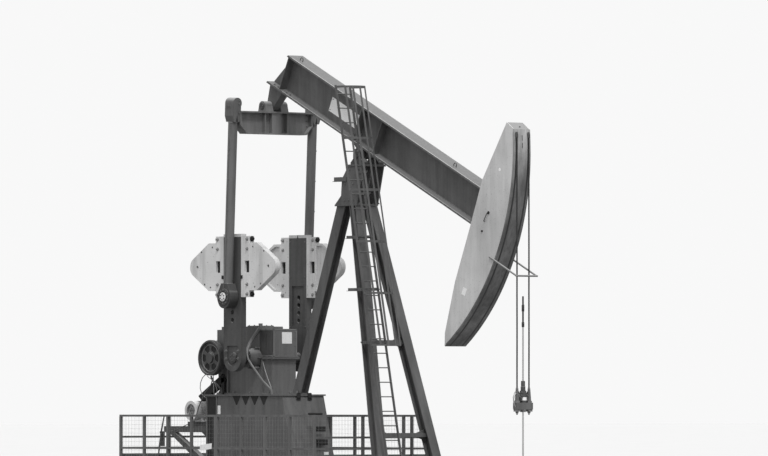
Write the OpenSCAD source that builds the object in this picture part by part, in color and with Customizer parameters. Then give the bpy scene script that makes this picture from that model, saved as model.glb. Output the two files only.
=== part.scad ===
// Beam pumping unit, crank balanced, drawn at the bottom of its stroke.
// +X points from the centre bearing to the well, +Y to the far side, +Z up.
// The origin is on the ground below the centre bearing.

/* [Linkage] */
// Height of the centre bearing above the ground
pivot_z = 7000; // [6900:10:7100]
// Centre bearing to the polished rod
head_reach = 4600; // [4450:10:4750]
// Centre bearing to the tail bearing
tail_reach = 3048; // [3000:4:3100]
// Pitman length between its two pins
pitman_len = 3772; // [3740:4:3800]
// Crankshaft to the wrist pin
crank_throw = 1194; // [1150:2:1240]
// Crankshaft behind the centre bearing
crank_back = 3048; // [3000:4:3100]
// Crankshaft below the centre bearing
crank_drop = 3950; // [3900:5:4000]
// Tilt of the walking beam at the bottom of the stroke
beam_tilt = 25.2; // [24:0.1:26]

/* [Walking beam] */
// Depth of the beam section
beam_h = 750; // [700:10:780]
// Width of the beam flanges
beam_w = 380; // [340:10:390]
// Thickness of the beam flanges
beam_tf = 36; // [24:2:44]
// Thickness of the beam web
beam_tw = 22; // [16:2:30]
// Underside of the beam above the centre bearing
beam_seat = 120; // [118:1:130]
// Tail end of the beam behind the centre bearing, along its underside
beam_tail = 3227; // [3200:5:3300]
// Front end of the beam
beam_nose = 3980; // [3900:10:4050]
// Lean of the cut at the tail end
tail_cut = 27.6; // [20:0.2:34]

/* [Horsehead] */
// Angle of the arc above and below the beam line
head_half_angle = 29.8; // [28:0.2:31]
// Thickness of the side plates
head_plate = 14; // [10:1:20]
// Thickness of the curved face plate
face_t = 16; // [12:1:24]
// Half width over the side plates at the top
head_half_top = 208; // [208:1:220]
// Half width over the side plates at the bottom
head_half_bottom = 262; // [250:1:280]

/* [Wire rope] */
// Diameter of the wire rope
rope_d = 32; // [24:2:36]
// Spacing of the two rope falls
rope_gap = 302; // [290:2:320]
// Carrier bar below the centre bearing
carrier_drop = 4900; // [4850:10:4950]
// Diameter of the polished rod
rod_d = 32; // [28:1:34]
// Top of the polished rod above the carrier bar
rod_above = 2090; // [1900:10:2200]
// Bottom of the polished rod below the carrier bar
rod_below = 1150; // [900:10:1400]

/* [Cranks] */
// Middle of each crank from the machine centreline
crank_y = 835; // [825:1:845]
// Thickness of the cranks
crank_t = 130; // [120:2:140]
// Width of the cranks
crank_w = 540; // [520:5:560]
// Crank tip beyond the crankshaft
crank_tip = 2430; // [2390:10:2450]
// Diameter of the crankshaft
shaft_d = 220; // [180:5:240]
// Pitch of the stroke holes
hole_pitch = 152.4; // [150:0.2:155]
// Radius of the stroke holes
hole_r = 48; // [40:1:52]

/* [Counterweights] */
// Middle of the weights above the crankshaft
weight_z = 1790; // [1760:5:1820]
// Height of the weights
weight_h = 940; // [900:10:960]
// Reach of the weights beside the crank
weight_w = 1060; // [1020:5:1080]
// Thickness of the weights
weight_t = 120; // [100:2:128]

/* [Pitmans] */
// Middle of each pitman from the machine centreline
pitman_y = 1015; // [1010:1:1022]
// Diameter of the pitman tube
pitman_d = 186; // [170:2:190]
// Radius of the wrist bearing housing
wrist_r = 205; // [190:5:230]
// Radius of the wrist pin end
pin_r = 88; // [70:2:100]
// Gap between the wrist pin and the crank face
open_gap = 6; // [5:0.5:10]

/* [Post] */
// Front feet ahead of the centre bearing, at the ground
foot_x = 1475; // [1400:10:1550]
// Front feet beside the centreline, at the ground
foot_y = 812; // [790:2:830]
// Forward lean of the front legs, per length of height
leg_lean = 0.266; // [0.25:0.002:0.28]
// Sideways lean of the front legs, per length of height
leg_splay = 0.108; // [0.100:0.002:0.112]
// Backward lean of the rear leg, per length of height
rear_lean = 0.372; // [0.36:0.002:0.38]
// Rear leg axis behind the centre bearing, at the bearing's level
rear_x = 308; // [290:2:330]
// Depth of the leg section
leg_h = 200; // [180:5:215]
// Width of the leg section
leg_w = 210; // [190:5:220]
// Underside of the post head below the centre bearing
head_drop = 1000; // [960:10:1040]

/* [Base] */
// Height of the base beams
base_h = 400; // [350:10:440]
// Width of the base beam flanges
base_w = 250; // [220:10:300]
// Width of the cross beams
cross_w = 200; // [160:10:210]
// Middle of the base beams from the centreline
base_y = 760; // [745:5:780]
// Rear end of the base beams
base_rear = 6150; // [6110:10:6250]
// Front end of the base beams
base_front = 1780; // [1700:10:1900]
// Top of the pedestal below the centre bearing
pedestal_drop = 4670; // [4640:5:4700]
// Half width of the pedestal
pedestal_half = 530; // [500:5:560]
// Rear face of the pedestal behind the centre bearing
pedestal_rear = 4310; // [4280:5:4340]
// Front edge of the pedestal top behind the centre bearing
pedestal_front = 1960; // [1940:5:1980]

/* [Reducer] */
// Front face of the gear reducer ahead of the crankshaft
reducer_front = 540; // [500:5:560]
// Half width of the gear reducer
reducer_half = 300; // [280:5:320]
// Top of the reducer above the crankshaft
reducer_top = 620; // [580:5:660]
// Input shaft behind the crankshaft
input_back = 1150; // [1130:2:1170]
// Radius of the input sheave
sheave_r = 350; // [300:5:360]
// Radius of the motor sheave
motor_sheave_r = 120; // [90:5:150]
// Middle of the belt from the centreline
belt_y = 600; // [590:1:615]
// Width of the belt
belt_w = 140; // [100:5:150]

/* [Motor] */
// Motor shaft behind the centre bearing
motor_x = 4980; // [4930:5:5030]
// Height of the motor shaft
motor_z = 2010; // [1990:5:2040]
// Radius of the motor body
motor_r = 195; // [180:5:200]
// Length of the motor body
motor_len = 620; // [560:10:680]

/* [Ladder] */
// Middle of the ladder from the centreline
ladder_y = 600; // [590:5:620]
// Width between the ladder rails
ladder_w = 360; // [340:10:380]
// Ladder ahead of the centre bearing, at the ground
ladder_foot = 1756; // [1740:2:1770]
// Lean of the ladder, per length of height
ladder_lean = 0.214; // [0.210:0.001:0.218]
// Rung spacing
rung_gap = 280; // [250:10:320]
// Top of the ladder above the centre bearing
ladder_top = 1330; // [1300:10:1390]
// Radius of the cage hoops
cage_r = 290; // [280:5:300]
// Middle of the hoops ahead of the ladder
cage_ahead = 220; // [205:5:235]
// Lowest hoop below the centre bearing
cage_drop = 3740; // [3600:10:3900]
// Spacing of the hoops
hoop_gap = 1000; // [900:10:1100]

/* [Fence] */
// Height of the guard fence
fence_h = 1930; // [1800:10:2000]
// Middle of the side fences from the centreline
fence_y = 1450; // [1400:10:1550]
// Rear fence behind the centre bearing
fence_rear = 5900; // [5800:10:6000]
// Front fence ahead of the centre bearing
fence_front = 135; // [130:5:160]
// Size of the fence posts
post_s = 50; // [40:5:60]

/* [Hidden] */
$fn = 64;

steel_dark = [0.23, 0.23, 0.23];
steel_mid = [0.34, 0.34, 0.34];
steel_pale = [0.62, 0.62, 0.62];
weight_paint = [0.78, 0.78, 0.78];
rubber_black = [0.06, 0.06, 0.06];
galvanised = [0.5, 0.5, 0.5];

play = 0.05;
seat_gap = 0.3;
rope_play = 0.5;
deck = base_h;
belt_t = 12;
plate_t = 30;

// Pins of the linkage in the machine's upright plane, at the bottom of the stroke
crank_z = pivot_z - crank_drop;
wrist_z = crank_z + crank_throw;
wrist_far = norm([crank_back, pivot_z - wrist_z]);
wrist_dir = atan2(pivot_z - wrist_z, crank_back);
tail_dir = acos((pow(tail_reach, 2) + pow(wrist_far, 2) - pow(pitman_len, 2)) / (2 * tail_reach * wrist_far));
tail_angle = tail_dir - wrist_dir;
tail_x = -tail_reach * cos(tail_angle);
tail_z = pivot_z + tail_reach * sin(tail_angle);
pitman_lean = atan2(tail_x + crank_back, tail_z - wrist_z);

// The tail bearing in the beam's own frame
tail_u = tail_x * cos(beam_tilt) - (tail_z - pivot_z) * sin(beam_tilt);
tail_n = tail_x * sin(beam_tilt) + (tail_z - pivot_z) * cos(beam_tilt);

ground_leg_x = function (z) foot_x - leg_lean * z;
ground_leg_y = function (z) foot_y - leg_splay * z;
rear_leg_x = function (z) -rear_x - rear_lean * (pivot_z - z);
heading = function (angle) [cos(angle), sin(angle)];
ladder_x = function (z) ladder_foot - ladder_lean * z;

module i_profile(h, b, tf, tw) {
    difference() {
        square([b, h], center = true);
        for (s = [-1, 1]) translate([s * (tw + b) / 2, 0]) square([b, h - 2 * tf], center = true);
    }
}

// An I section along X from x0 to x1, its middle on the X axis, its flanges level
module i_beam(x0, x1, h, b, tf, tw) {
    translate([x0, 0, 0]) rotate([90, 0, 90]) linear_extrude(x1 - x0) i_profile(h, b, tf, tw);
}

// A bar with its ends on two level planes, leaning by sx and sy for each length of height
module leaning(z0, z1, x0, y0, sx, sy) {
    reach = z1 - z0;
    ry = atan(sx);
    rx = -atan(sy * cos(ry));
    intersection() {
        translate([x0, y0, z0]) rotate([rx, ry, 0]) translate([0, 0, -300])
            linear_extrude(reach * 1.2 + 600) children();
        translate([-9000, -9000, z0]) cube([18000, 18000, reach]);
    }
}

module along_y(y0, y1) {
    translate([0, y1, 0]) rotate([90, 0, 0]) linear_extrude(y1 - y0) children();
}

module both_sides() {
    children();
    mirror([0, 1, 0]) children();
}

module at_beam() {
    translate([0, 0, pivot_z]) rotate([0, beam_tilt, 0]) children();
}

// Base
base_tf = 24;
base_tw = 16;

module base_beam(side) {
    translate([0, side * base_y, base_h / 2]) i_beam(-base_rear, base_front, base_h, base_w, base_tf,
        base_tw);
}
module base_beams() {
    color(steel_dark) for (side = [-1, 1]) base_beam(side);
}

cross_x = [-base_rear + cross_w / 2, -pedestal_rear + cross_w / 2, -(pedestal_rear + pedestal_front) / 2,
    -pedestal_front + 350, 0, base_front - cross_w / 2];
module base_cross_beams() {
    half = base_y - base_w / 2;
    color(steel_dark) for (x = cross_x) translate([x, -half, base_h / 2]) rotate([0, 0, 90])
        i_beam(0, 2 * half, base_h, cross_w, base_tf, base_tw);
}

pedestal_top = pivot_z - pedestal_drop;
pedestal_lip = 30;
module pedestal() {
    toe = -pedestal_front + leg_lean * (pedestal_top - deck);
    color(steel_mid) {
        along_y(-pedestal_half, pedestal_half) polygon([[-pedestal_rear, deck], [toe, deck],
            [-pedestal_front, pedestal_top - plate_t], [-pedestal_rear, pedestal_top - plate_t]]);
        translate([-pedestal_rear - pedestal_lip, -pedestal_half - pedestal_lip, pedestal_top - plate_t])
            cube([pedestal_rear - pedestal_front + 2 * pedestal_lip, 2 * (pedestal_half + pedestal_lip),
                plate_t]);
    }
}

// Gear reducer, split at the level of the crankshaft
hub_r = 190;
hub_len = 280;
flange_t = 25;
flange_out = 40;
nose_depth = 430;
input_x = -crank_back - input_back;
reducer_rear = -crank_back - 1190;
reducer_nose = -crank_back + reducer_front;
module reducer_bores() {
    rotate([90, 0, 0]) translate([-crank_back, crank_z, 0])
        cylinder(r = shaft_d / 2 + play, h = 2 * reducer_half + 4 * hub_len, center = true);
}
module reducer_hubs(z0, z1) {
    both_sides() intersection() {
        union() {
            translate([-crank_back, reducer_half, crank_z]) rotate([-90, 0, 0]) cylinder(r = hub_r,
                h = hub_len);
            translate([input_x, reducer_half, crank_z]) rotate([-90, 0, 0]) cylinder(r = 130, h = 60);
            for (a = [-60, 0, 60, 120, 180, 240]) translate([-crank_back, reducer_half, crank_z])
                rotate([0, a, 0])
                translate([0, 0, -10]) cube([hub_r + 50, 120, 20]);
        }
        translate([-9000, 0, z0]) cube([9000, 9000, z1 - z0]);
    }
}
module split_flange(z) {
    translate([reducer_rear - flange_out, -reducer_half - flange_out, z])
        cube([reducer_nose - reducer_rear + 2 * flange_out, 2 * (reducer_half + flange_out), flange_t]);
}
module reducer_case() {
    color(steel_mid) difference() {
        union() {
            along_y(-reducer_half, reducer_half) polygon([[reducer_rear + 60, pedestal_top],
                [reducer_nose - 30, pedestal_top],
                [reducer_nose - 30, crank_z], [reducer_rear, crank_z], [reducer_rear, crank_z - 200]]);
            translate([reducer_rear + 30, -reducer_half - 60, pedestal_top])
                cube([reducer_nose - reducer_rear - 60, 2 * reducer_half + 120, 30]);
            for (x = [reducer_rear + 350, reducer_nose - 330]) translate([x, -reducer_half - 45,
                pedestal_top])
                cube([25, 2 * reducer_half + 90, crank_z - pedestal_top]);
            split_flange(crank_z - flange_t);
            reducer_hubs(pedestal_top, crank_z);
        }
        reducer_bores();
    }
}
module reducer_cover() {
    top = crank_z + reducer_top;
    step = reducer_nose - nose_depth;
    color(steel_mid) difference() {
        union() {
            along_y(-reducer_half, reducer_half) polygon([[reducer_rear, crank_z], [reducer_rear - 20,
                crank_z + 230],
                [reducer_rear - 20, top - 60], [reducer_rear + 120, top - 60], [reducer_rear + 120, top],
                    [step, top], [step, crank_z]]);
            along_y(-reducer_half + 18, reducer_half - 18) polygon([[step, crank_z], [step, top - 60],
                [reducer_nose, top - 60], [reducer_nose, crank_z]]);
            translate([reducer_nose - 12, -reducer_half + 8, crank_z]) cube([12, 2 * reducer_half - 16,
                reducer_top - 50]);
            translate([step - 520, -180, top]) cube([380, 360, 18]);
            translate([step - 330, 0, top + 18]) cylinder(r = 40, h = 45);
            split_flange(crank_z);
            reducer_hubs(crank_z, top);
        }
        reducer_bores();
    }
}

// A wheel across Y: a rim, a thin web with windows, a hub, and its shaft back to the reducer
module wheel(x, z, r, y0, y1, shaft_y, shaft_r, rim_t, windows, grooves) {
    w = y1 - y0;
    translate([x, 0, z]) rotate([-90, 0, 0]) {
        difference() {
            translate([0, 0, y0]) cylinder(r = r, h = w);
            for (s = [-1, y1 - y0 - w / 3]) translate([0, 0, y0 + s]) difference() {
                cylinder(r = r - rim_t, h = w / 3 + 1);
                translate([0, 0, -1]) cylinder(r = shaft_r * 1.8, h = w);
            }
            for (i = [0 : windows - 1]) rotate([0, 0, 360 * i / windows])
                translate([(r - rim_t + shaft_r * 1.8) / 2, 0, y0 - 1]) cylinder(r = (r - rim_t) * 0.24,
                    h = w + 2);
            for (i = [0 : grooves - 1]) translate([0, 0, y0 + w * (i + 0.5) / grooves])
                rotate_extrude($fn = 96)
                polygon([[r + 1, -w / grooves * 0.36], [r - 18, -w / grooves * 0.2], [r - 18,
                    w / grooves * 0.2],
                    [r + 1, w / grooves * 0.36]]);
        }
        translate([0, 0, shaft_y]) cylinder(r = shaft_r, h = y0 - shaft_y);
    }
}
module input_sheave() {
    color(steel_dark) wheel(input_x, crank_z, sheave_r - belt_t, belt_y - belt_w / 2, belt_y + belt_w / 2,
        reducer_half + 60, 55, 42, 5, 5);
}
module brake_drum() {
    color(steel_dark) mirror([0, 1, 0]) wheel(input_x, crank_z, 345, 440, 560, reducer_half + 60, 55, 30,
        6, 0);
}

// Outline of a belt round two sheaves, at radius ra round a and rb round b
module belt_outline(a, b, ra, rb) {
    line = atan2(b.y - a.y, b.x - a.x);
    open = acos((ra - rb) / norm(b - a));
    translate(a) circle(r = ra);
    translate(b) circle(r = rb);
    polygon([a + ra * heading(line + open), b + rb * heading(line + open), b + rb * heading(line - open),
        a + ra * heading(line - open)]);
}
module drive_belt() {
    a = [input_x, crank_z];
    b = [-motor_x, motor_z];
    color(rubber_black) along_y(belt_y - belt_w / 2 + 5, belt_y + belt_w / 2 - 5) difference() {
        belt_outline(a, b, sheave_r, motor_sheave_r);
        belt_outline(a, b, sheave_r - belt_t + seat_gap, motor_sheave_r - belt_t + seat_gap);
    }
}

// Motor and its platform behind the pedestal
platform_top = 1700;
platform_half = 480;
platform_rear = 5720;
motor_foot_t = 25;
slide_h = 90;
module motor_platform() {
    bar = 120;
    color(steel_dark) {
        for (y = [-platform_half, platform_half - bar]) {
            translate([-platform_rear, y, platform_top - bar]) cube([platform_rear - pedestal_rear, bar,
                bar]);
            along_y(y, y + bar) polygon([[-platform_rear + 150, platform_top - bar],
                [-platform_rear + 330, platform_top - bar], [-pedestal_rear, 950], [-pedestal_rear, 790]]);
        }
        for (x = [-platform_rear, -motor_x - 330, -motor_x + 210])
            translate([x, -platform_half + bar, platform_top - bar]) cube([bar, 2 * (platform_half - bar),
                bar]);
        for (y = [-200, 130]) translate([-motor_x - 330, y, platform_top])
            cube([660, 70, slide_h]);
    }
}
module motor() {
    half = motor_len / 2;
    foot_z = platform_top + slide_h;
    color(steel_pale) {
        translate([-motor_x, 0, motor_z]) rotate([-90, 0, 0]) {
            cylinder(r = motor_r - 12, h = motor_len, center = true);
            translate([0, 0, half - 50]) cylinder(r = motor_r, h = 50);
            translate([0, 0, half]) cylinder(r = motor_r - 60, h = 40);
            difference() {
                translate([0, 0, -half - 80]) cylinder(r = motor_r, h = 130);
                translate([0, 0, -half - 81]) cylinder(r = 128, h = 40);
            }
            translate([0, 0, -half - 42]) cylinder(r = 60, h = 30);
            translate([0, 0, half + 40]) cylinder(r = 28, h = belt_y - belt_w / 2 - half - 40);
            translate([0, 0, belt_y - belt_w / 2]) cylinder(r = motor_sheave_r - belt_t, h = belt_w);
        }
        translate([-motor_x - 90, 60, motor_z + motor_r - 40]) cube([180, 200, 110]);
        for (y = [-210, 120]) translate([-motor_x - 190, y, foot_z]) cube([380, 90, motor_foot_t]);
        for (y = [-210, 120]) translate([-motor_x - 130, y, foot_z]) cube([260, 90, motor_z - foot_z - 60]);
    }
}

// Post
head_under = pivot_z - head_drop;
leg_tf = 18;
leg_tw = 14;
module front_leg(side) {
    z0 = deck + plate_t;
    x0 = ground_leg_x(z0);
    y0 = side * ground_leg_y(z0);
    leaning(z0, head_under, x0, y0, -leg_lean, -side * leg_splay)
        rotate(90) i_profile(leg_h, leg_w, leg_tf, leg_tw);
    translate([x0 - 200, y0 - 150, deck]) cube([400, 300, plate_t]);
}
module post_front_legs() {
    color(steel_mid) for (side = [-1, 1]) front_leg(side);
}
module post_rear_leg() {
    z0 = pedestal_top + plate_t;
    color(steel_mid) {
        leaning(z0, head_under, rear_leg_x(z0), 0, rear_lean, 0) i_profile(190, 235, 16, 14);
        translate([rear_leg_x(z0) - 190, -150, pedestal_top]) cube([290, 300, plate_t]);
    }
}
girt_z = [1500, 3300];
girt_s = 80;
// The webs of the legs lean across the girt's width by this much
web_clear = 1.5;
module post_girts() {
    color(steel_mid) for (z = girt_z) {
        half = ground_leg_y(z + girt_s) - leg_tw / 2 - web_clear;
        translate([ground_leg_x(z + girt_s / 2) - girt_s / 2, -half, z]) cube([girt_s, 2 * half, girt_s]);
    }
}
module post_head() {
    half = 275;
    bottom_front = ground_leg_x(head_under) + leg_h / 2 + 30;
    bottom_rear = rear_leg_x(head_under) - 130;
    step = -480;
    top = pivot_z - 200;
    color(steel_mid) {
        for (y = [-half, half - 25]) along_y(y, y + 25) polygon([[step, head_under + plate_t],
            [bottom_front, head_under + plate_t], [190, top - 40], [-260, top - 40], [-440,
                head_under + 520]]);
        translate([step, -half, head_under]) cube([bottom_front - step, 2 * half, plate_t]);
        translate([bottom_rear, -150, head_under]) cube([step - bottom_rear, 300, plate_t]);
        translate([-280, -half - 15, top - 40]) cube([500, 2 * half + 30, 40]);
        along_y(-12, 12) polygon([[bottom_rear + 40, head_under + plate_t], [bottom_front - 60,
            head_under + plate_t],
            [150, top - 40], [-230, top - 40]]);
        for (y = [-150, 126]) along_y(y, y + 24) polygon([[bottom_rear + 10, head_under + plate_t], [step,
            head_under + plate_t],
            [step, head_under + 330]]);
    }
}
block_in = 125;
block_out = 265;
journal_r = 60;
block_r = 112;
module centre_bearing() {
    color(steel_mid) both_sides() difference() {
        along_y(block_in, block_out) {
            translate([0, pivot_z]) circle(r = block_r);
            polygon([[-190, pivot_z - 200], [190, pivot_z - 200], [190, pivot_z - 160], [block_r,
                pivot_z - 90],
                [block_r, pivot_z], [-block_r, pivot_z], [-block_r, pivot_z - 90], [-190, pivot_z - 160]]);
        }
        translate([0, 0, pivot_z]) rotate([90, 0, 0]) cylinder(r = journal_r + play, h = 2000, center = true);
    }
}

// Ladder with its cage
rail_s = 50;
module ladder() {
    z0 = deck;
    z1 = pivot_z + ladder_top;
    color(galvanised) {
        for (s = [-1, 1]) leaning(z0, z1, ladder_x(z0), -ladder_y + s * ladder_w / 2, -ladder_lean, 0)
            square([rail_s, 20], center = true);
        for (z = [z0 + 200 : rung_gap : z1 - 60]) translate([ladder_x(z), -ladder_y, z])
            rotate([90, 0, 0]) cylinder(d = 22, h = ladder_w, center = true, $fn = 12);
    }
}
hoop_w = 40;
hoop_t = 6;
module hoop(z) {
    translate([ladder_x(z), -ladder_y, z]) difference() {
        translate([cage_ahead, 0, 0]) cylinder(r = cage_r, h = hoop_w);
        translate([cage_ahead, 0, -1]) cylinder(r = cage_r - hoop_t, h = hoop_w + 2);
        translate([-cage_r, -ladder_w / 2 - 10 - seat_gap, -1]) cube([cage_r + 100,
            ladder_w + 20 + 2 * seat_gap, hoop_w + 2]);
    }
}
module ladder_cage() {
    z0 = pivot_z - cage_drop;
    z1 = pivot_z + ladder_top - 60;
    count = round((z1 - z0) / hoop_gap);
    color(galvanised) {
        for (i = [0 : count]) hoop(z0 + i * (z1 - z0) / count);
        for (a = [-60 : 30 : 60]) leaning(z0, z1 + hoop_w, ladder_x(z0) + cage_ahead + (cage_r + 2) * cos(a),
            -ladder_y + (cage_r + 2) * sin(a), -ladder_lean, 0) rotate(a) square([8, 40], center = true);
    }
}

// Guard fence
rail_t = 40;
fence_levels = [base_h + 50, 1250, fence_h - rail_t];
module fence_panel(x0, x1) {
    count = round((x1 - x0) / 750);
    step = (x1 - x0 - post_s) / count;
    for (i = [0 : count]) translate([x0 + i * step, -post_s / 2, 0]) cube([post_s, post_s, fence_h - rail_t]);
    for (z = fence_levels) translate([x0, -rail_t / 2, z]) cube([x1 - x0, rail_t, rail_t]);
}
tie_in = base_y + base_w / 2;
// Two panels beside the base, each end post tied to the base beam
module side_fence() {
    x0 = -fence_rear;
    x1 = fence_front + post_s / 2;
    middle = (x0 + x1) / 2;
    for (x = [[x0, middle - 1], [middle + 1, x1]]) {
        translate([0, fence_y, 0]) fence_panel(x[0], x[1]);
        for (tie = [x[0], x[1] - post_s]) translate([tie, tie_in, base_h - rail_t])
            cube([post_s, fence_y - post_s / 2 - tie_in, rail_t]);
    }
}
module fence_near() {
    color(steel_dark) mirror([0, 1, 0]) side_fence();
}
module fence_far() {
    color(steel_dark) side_fence();
}
cross_posts = [-225, 1026];
module cross_fence(x) {
    half = fence_y - post_s / 2;
    translate([x, 0, 0]) rotate([0, 0, 90]) {
        for (y = cross_posts) {
            foot = y > tie_in ? base_h : 0;
            translate([y - post_s / 2, -post_s / 2, foot]) cube([post_s, post_s, fence_h - rail_t - foot]);
        }
        for (z = concat(fence_levels, [1470])) translate([-half, -rail_t / 2, z]) cube([2 * half, rail_t,
            rail_t]);
        translate([-half, -6, 1010]) cube([2 * half, 12, 150]);
    }
}
module fence_rear() {
    color(steel_dark) cross_fence(-fence_rear + post_s / 2);
}
module fence_front() {
    color(steel_dark) cross_fence(fence_front);
}

// Cranks and counterweights
crank_out = crank_y + crank_t / 2;
crank_in = crank_y - crank_t / 2;
module crankshaft() {
    color(steel_pale) translate([-crank_back, 0, crank_z]) rotate([90, 0, 0])
        cylinder(r = shaft_d / 2, h = 2 * crank_out, center = true);
}
module crank() {
    rim = 90;
    half = crank_w / 2;
    low = crank_throw - 3.6 * hole_pitch;
    high = crank_throw + 230;
    translate([-crank_back, 0, crank_z]) difference() {
        along_y(crank_in, crank_out) {
            circle(r = half);
            translate([-half, 0]) square([crank_w, crank_tip]);
        }
        // A channel beside the holes on the inner face, and a pocket round the shaft end on the outer one
        along_y(crank_in - 1, crank_in + 25) translate([-half + rim, low]) square([crank_w - 2 * rim,
            high - low]);
        along_y(crank_out - 25, crank_out + 1) {
            circle(r = 165);
            translate([-165, 0]) square([330, 235]);
        }
        for (i = [0 : 3]) translate([0, 0, crank_throw - i * hole_pitch]) rotate([90, 0, 0])
            cylinder(r = hole_r, h = 4000, center = true);
        rotate([90, 0, 0]) cylinder(r = shaft_d / 2 + play, h = 4000, center = true);
        translate([-12, 0, crank_tip - 70]) cube([24, 2000, 200]);
    }
}
module crank_near() {
    color(steel_dark) mirror([0, 1, 0]) crank();
}
module crank_far() {
    color(steel_dark) crank();
}

// A counterweight on the front edge of the far crank: straight shoulders and a round nose
module weight_outline(flat, reach, half, nose) {
    cx = reach - nose;
    dist = norm([cx - flat, half]);
    turn = atan2(half, cx - flat) - asin(nose / dist);
    side = sqrt(pow(dist, 2) - pow(nose, 2));
    tip = [flat + side * cos(turn), half - side * sin(turn)];
    translate([cx, 0]) circle(r = nose);
    polygon([[0, -half], [flat, -half], [tip.x, -tip.y], tip, [flat, half], [0, half]]);
}
module weight() {
    half = weight_h / 2;
    strip_w = 245;
    strip_h = 600;
    rim = 45;
    translate([-crank_back + crank_w / 2, 0, crank_z + weight_z]) {
        difference() {
            along_y(crank_y - weight_t / 2, crank_y + weight_t / 2)
                weight_outline(weight_w * 0.45, weight_w, half, 190);
            along_y(crank_y - crank_t, crank_y - weight_t / 2 + 45) difference() {
                weight_outline(weight_w * 0.43, weight_w - rim, half - rim, 170);
                translate([-1, -half]) square([strip_w + 61, weight_h]);
            }
            along_y(0, 2000) translate([110, -115]) square([135, 230]);
            along_y(0, 2000) translate([weight_w - 230, 0]) circle(r = 32);
        }
        difference() {
            along_y(crank_y - crank_t / 2, crank_y + crank_t / 2) translate([0, -strip_h]) square([strip_w,
                2 * strip_h]);
            along_y(0, 2000) translate([110, -115]) square([135, 230]);
            for (z = [-strip_h + 60, -350, 350, strip_h - 60]) along_y(0, 2000) translate([190, z])
                circle(r = 26);
        }
    }
}
module to_rear() {
    translate([-2 * crank_back, 0, 0]) mirror([1, 0, 0]) children();
}
module weight_far_front() {
    color(weight_paint) weight();
}
module weight_far_rear() {
    color(weight_paint) to_rear() weight();
}
module weight_near_front() {
    color(weight_paint) mirror([0, 1, 0]) weight();
}
module weight_near_rear() {
    color(weight_paint) mirror([0, 1, 0]) to_rear() weight();
}

// Walking beam
beam_mid = beam_seat + beam_h / 2;
module stiffener(u, lean) {
    t = 16;
    inner = beam_h - 2 * beam_tf;
    both_sides() translate([u, 0, beam_mid]) rotate([0, lean, 0])
        translate([-t / 2, beam_tw / 2 - 1, -inner / 2 / cos(lean)]) cube([t, beam_w / 2 - beam_tw / 2 - 8,
            inner / cos(lean)]);
}
module walking_beam() {
    color(steel_mid) at_beam() {
        difference() {
            translate([0, 0, beam_mid]) i_beam(-beam_tail, beam_nose, beam_h, beam_w, beam_tf, beam_tw);
            translate([-beam_tail, -beam_w, beam_seat]) rotate([0, tail_cut, 0]) translate([-900, 0, -100])
                cube([900, 2 * beam_w, 2 * beam_h]);
        }
        for (u = [-330, 330]) stiffener(u, 0);
        for (u = [-beam_tail + 420, beam_nose - 420]) stiffener(u, 0);
    }
}
module beam_saddle() {
    color(steel_mid) at_beam() {
        along_y(-block_in + 10, block_in - 10) {
            circle(r = 100);
            polygon([[-360, beam_seat], [-360, beam_seat - 40], [-95, -30], [95, -30], [360, beam_seat - 40],
                [360, beam_seat]]);
        }
        rotate([90, 0, 0]) cylinder(r = journal_r, h = 2 * block_out + 30, center = true);
    }
}
tail_in = 95;
tail_out = 285;
tail_r = 95;
module tail_bracket() {
    color(steel_mid) at_beam() {
        along_y(-tail_in + 5, tail_in - 5) {
            translate([tail_u, tail_n]) circle(r = tail_r);
            polygon([[tail_u - 180, beam_seat], [tail_u - tail_r, tail_n], [tail_u + tail_r, tail_n],
                [tail_u + 260, beam_seat]]);
        }
        translate([tail_u, 0, tail_n]) rotate([90, 0, 0]) cylinder(r = journal_r, h = 2 * tail_out + 20,
            center = true);
    }
}

// Horsehead
face_r = head_reach - rope_d / 2 - rope_play;
head_top_u = face_r * cos(head_half_angle);
head_top_n = face_r * sin(head_half_angle);
head_taper = atan((head_half_bottom - head_half_top) / (2 * head_top_n));
head_back = [[head_top_u - 240, head_top_n + 40], [3570, 1030], [3640, 70], [3700, -1050], [3860, -2050],
    [head_top_u - 15, -head_top_n]];
module head_outline() {
    difference() {
        intersection() {
            circle(r = face_r - face_t - seat_gap, $fn = 360);
            polygon(concat([[head_top_u, head_top_n], [6000, head_top_n + 200], [6000, -head_top_n]],
                [for (i = [len(head_back) - 1 : -1 : 0]) head_back[i]]));
        }
    }
}
head_half = function (n) head_half_top + (head_top_n - n) * tan(head_taper);
module head_plate_at(side) {
    mirror([0, side < 0 ? 1 : 0, 0]) translate([0, head_half_top, head_top_n]) rotate([head_taper, 0, 0])
        translate([0, 0, -head_top_n]) along_y(-head_plate, 0) head_outline();
}
module head_plate_near() {
    color(steel_pale) at_beam() head_plate_at(-1);
}
module head_plate_far() {
    color(steel_pale) at_beam() head_plate_at(1);
}
rib_t = 16;
rib_back = 180;
head_ribs = [1480, beam_seat + beam_h, beam_seat - rib_t, -900, -1600];
back_at = function (n) lookup(n, [[-head_top_n, head_top_u - 15], [-2050, 3860], [-1050, 3700], [70, 3640],
    [1030, 3570], [head_top_n + 40, head_top_u - 240]]);
module head_rib(n) {
    reach = sqrt(pow(face_r - face_t, 2) - pow(max(abs(n), abs(n + rib_t)), 2)) - seat_gap;
    half = head_half(n + rib_t) - head_plate / cos(head_taper) - seat_gap;
    from = max(back_at(n), back_at(n + rib_t)) + rib_back;
    translate([from, -half, n]) cube([reach - from, 2 * half, rib_t]);
}
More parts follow.
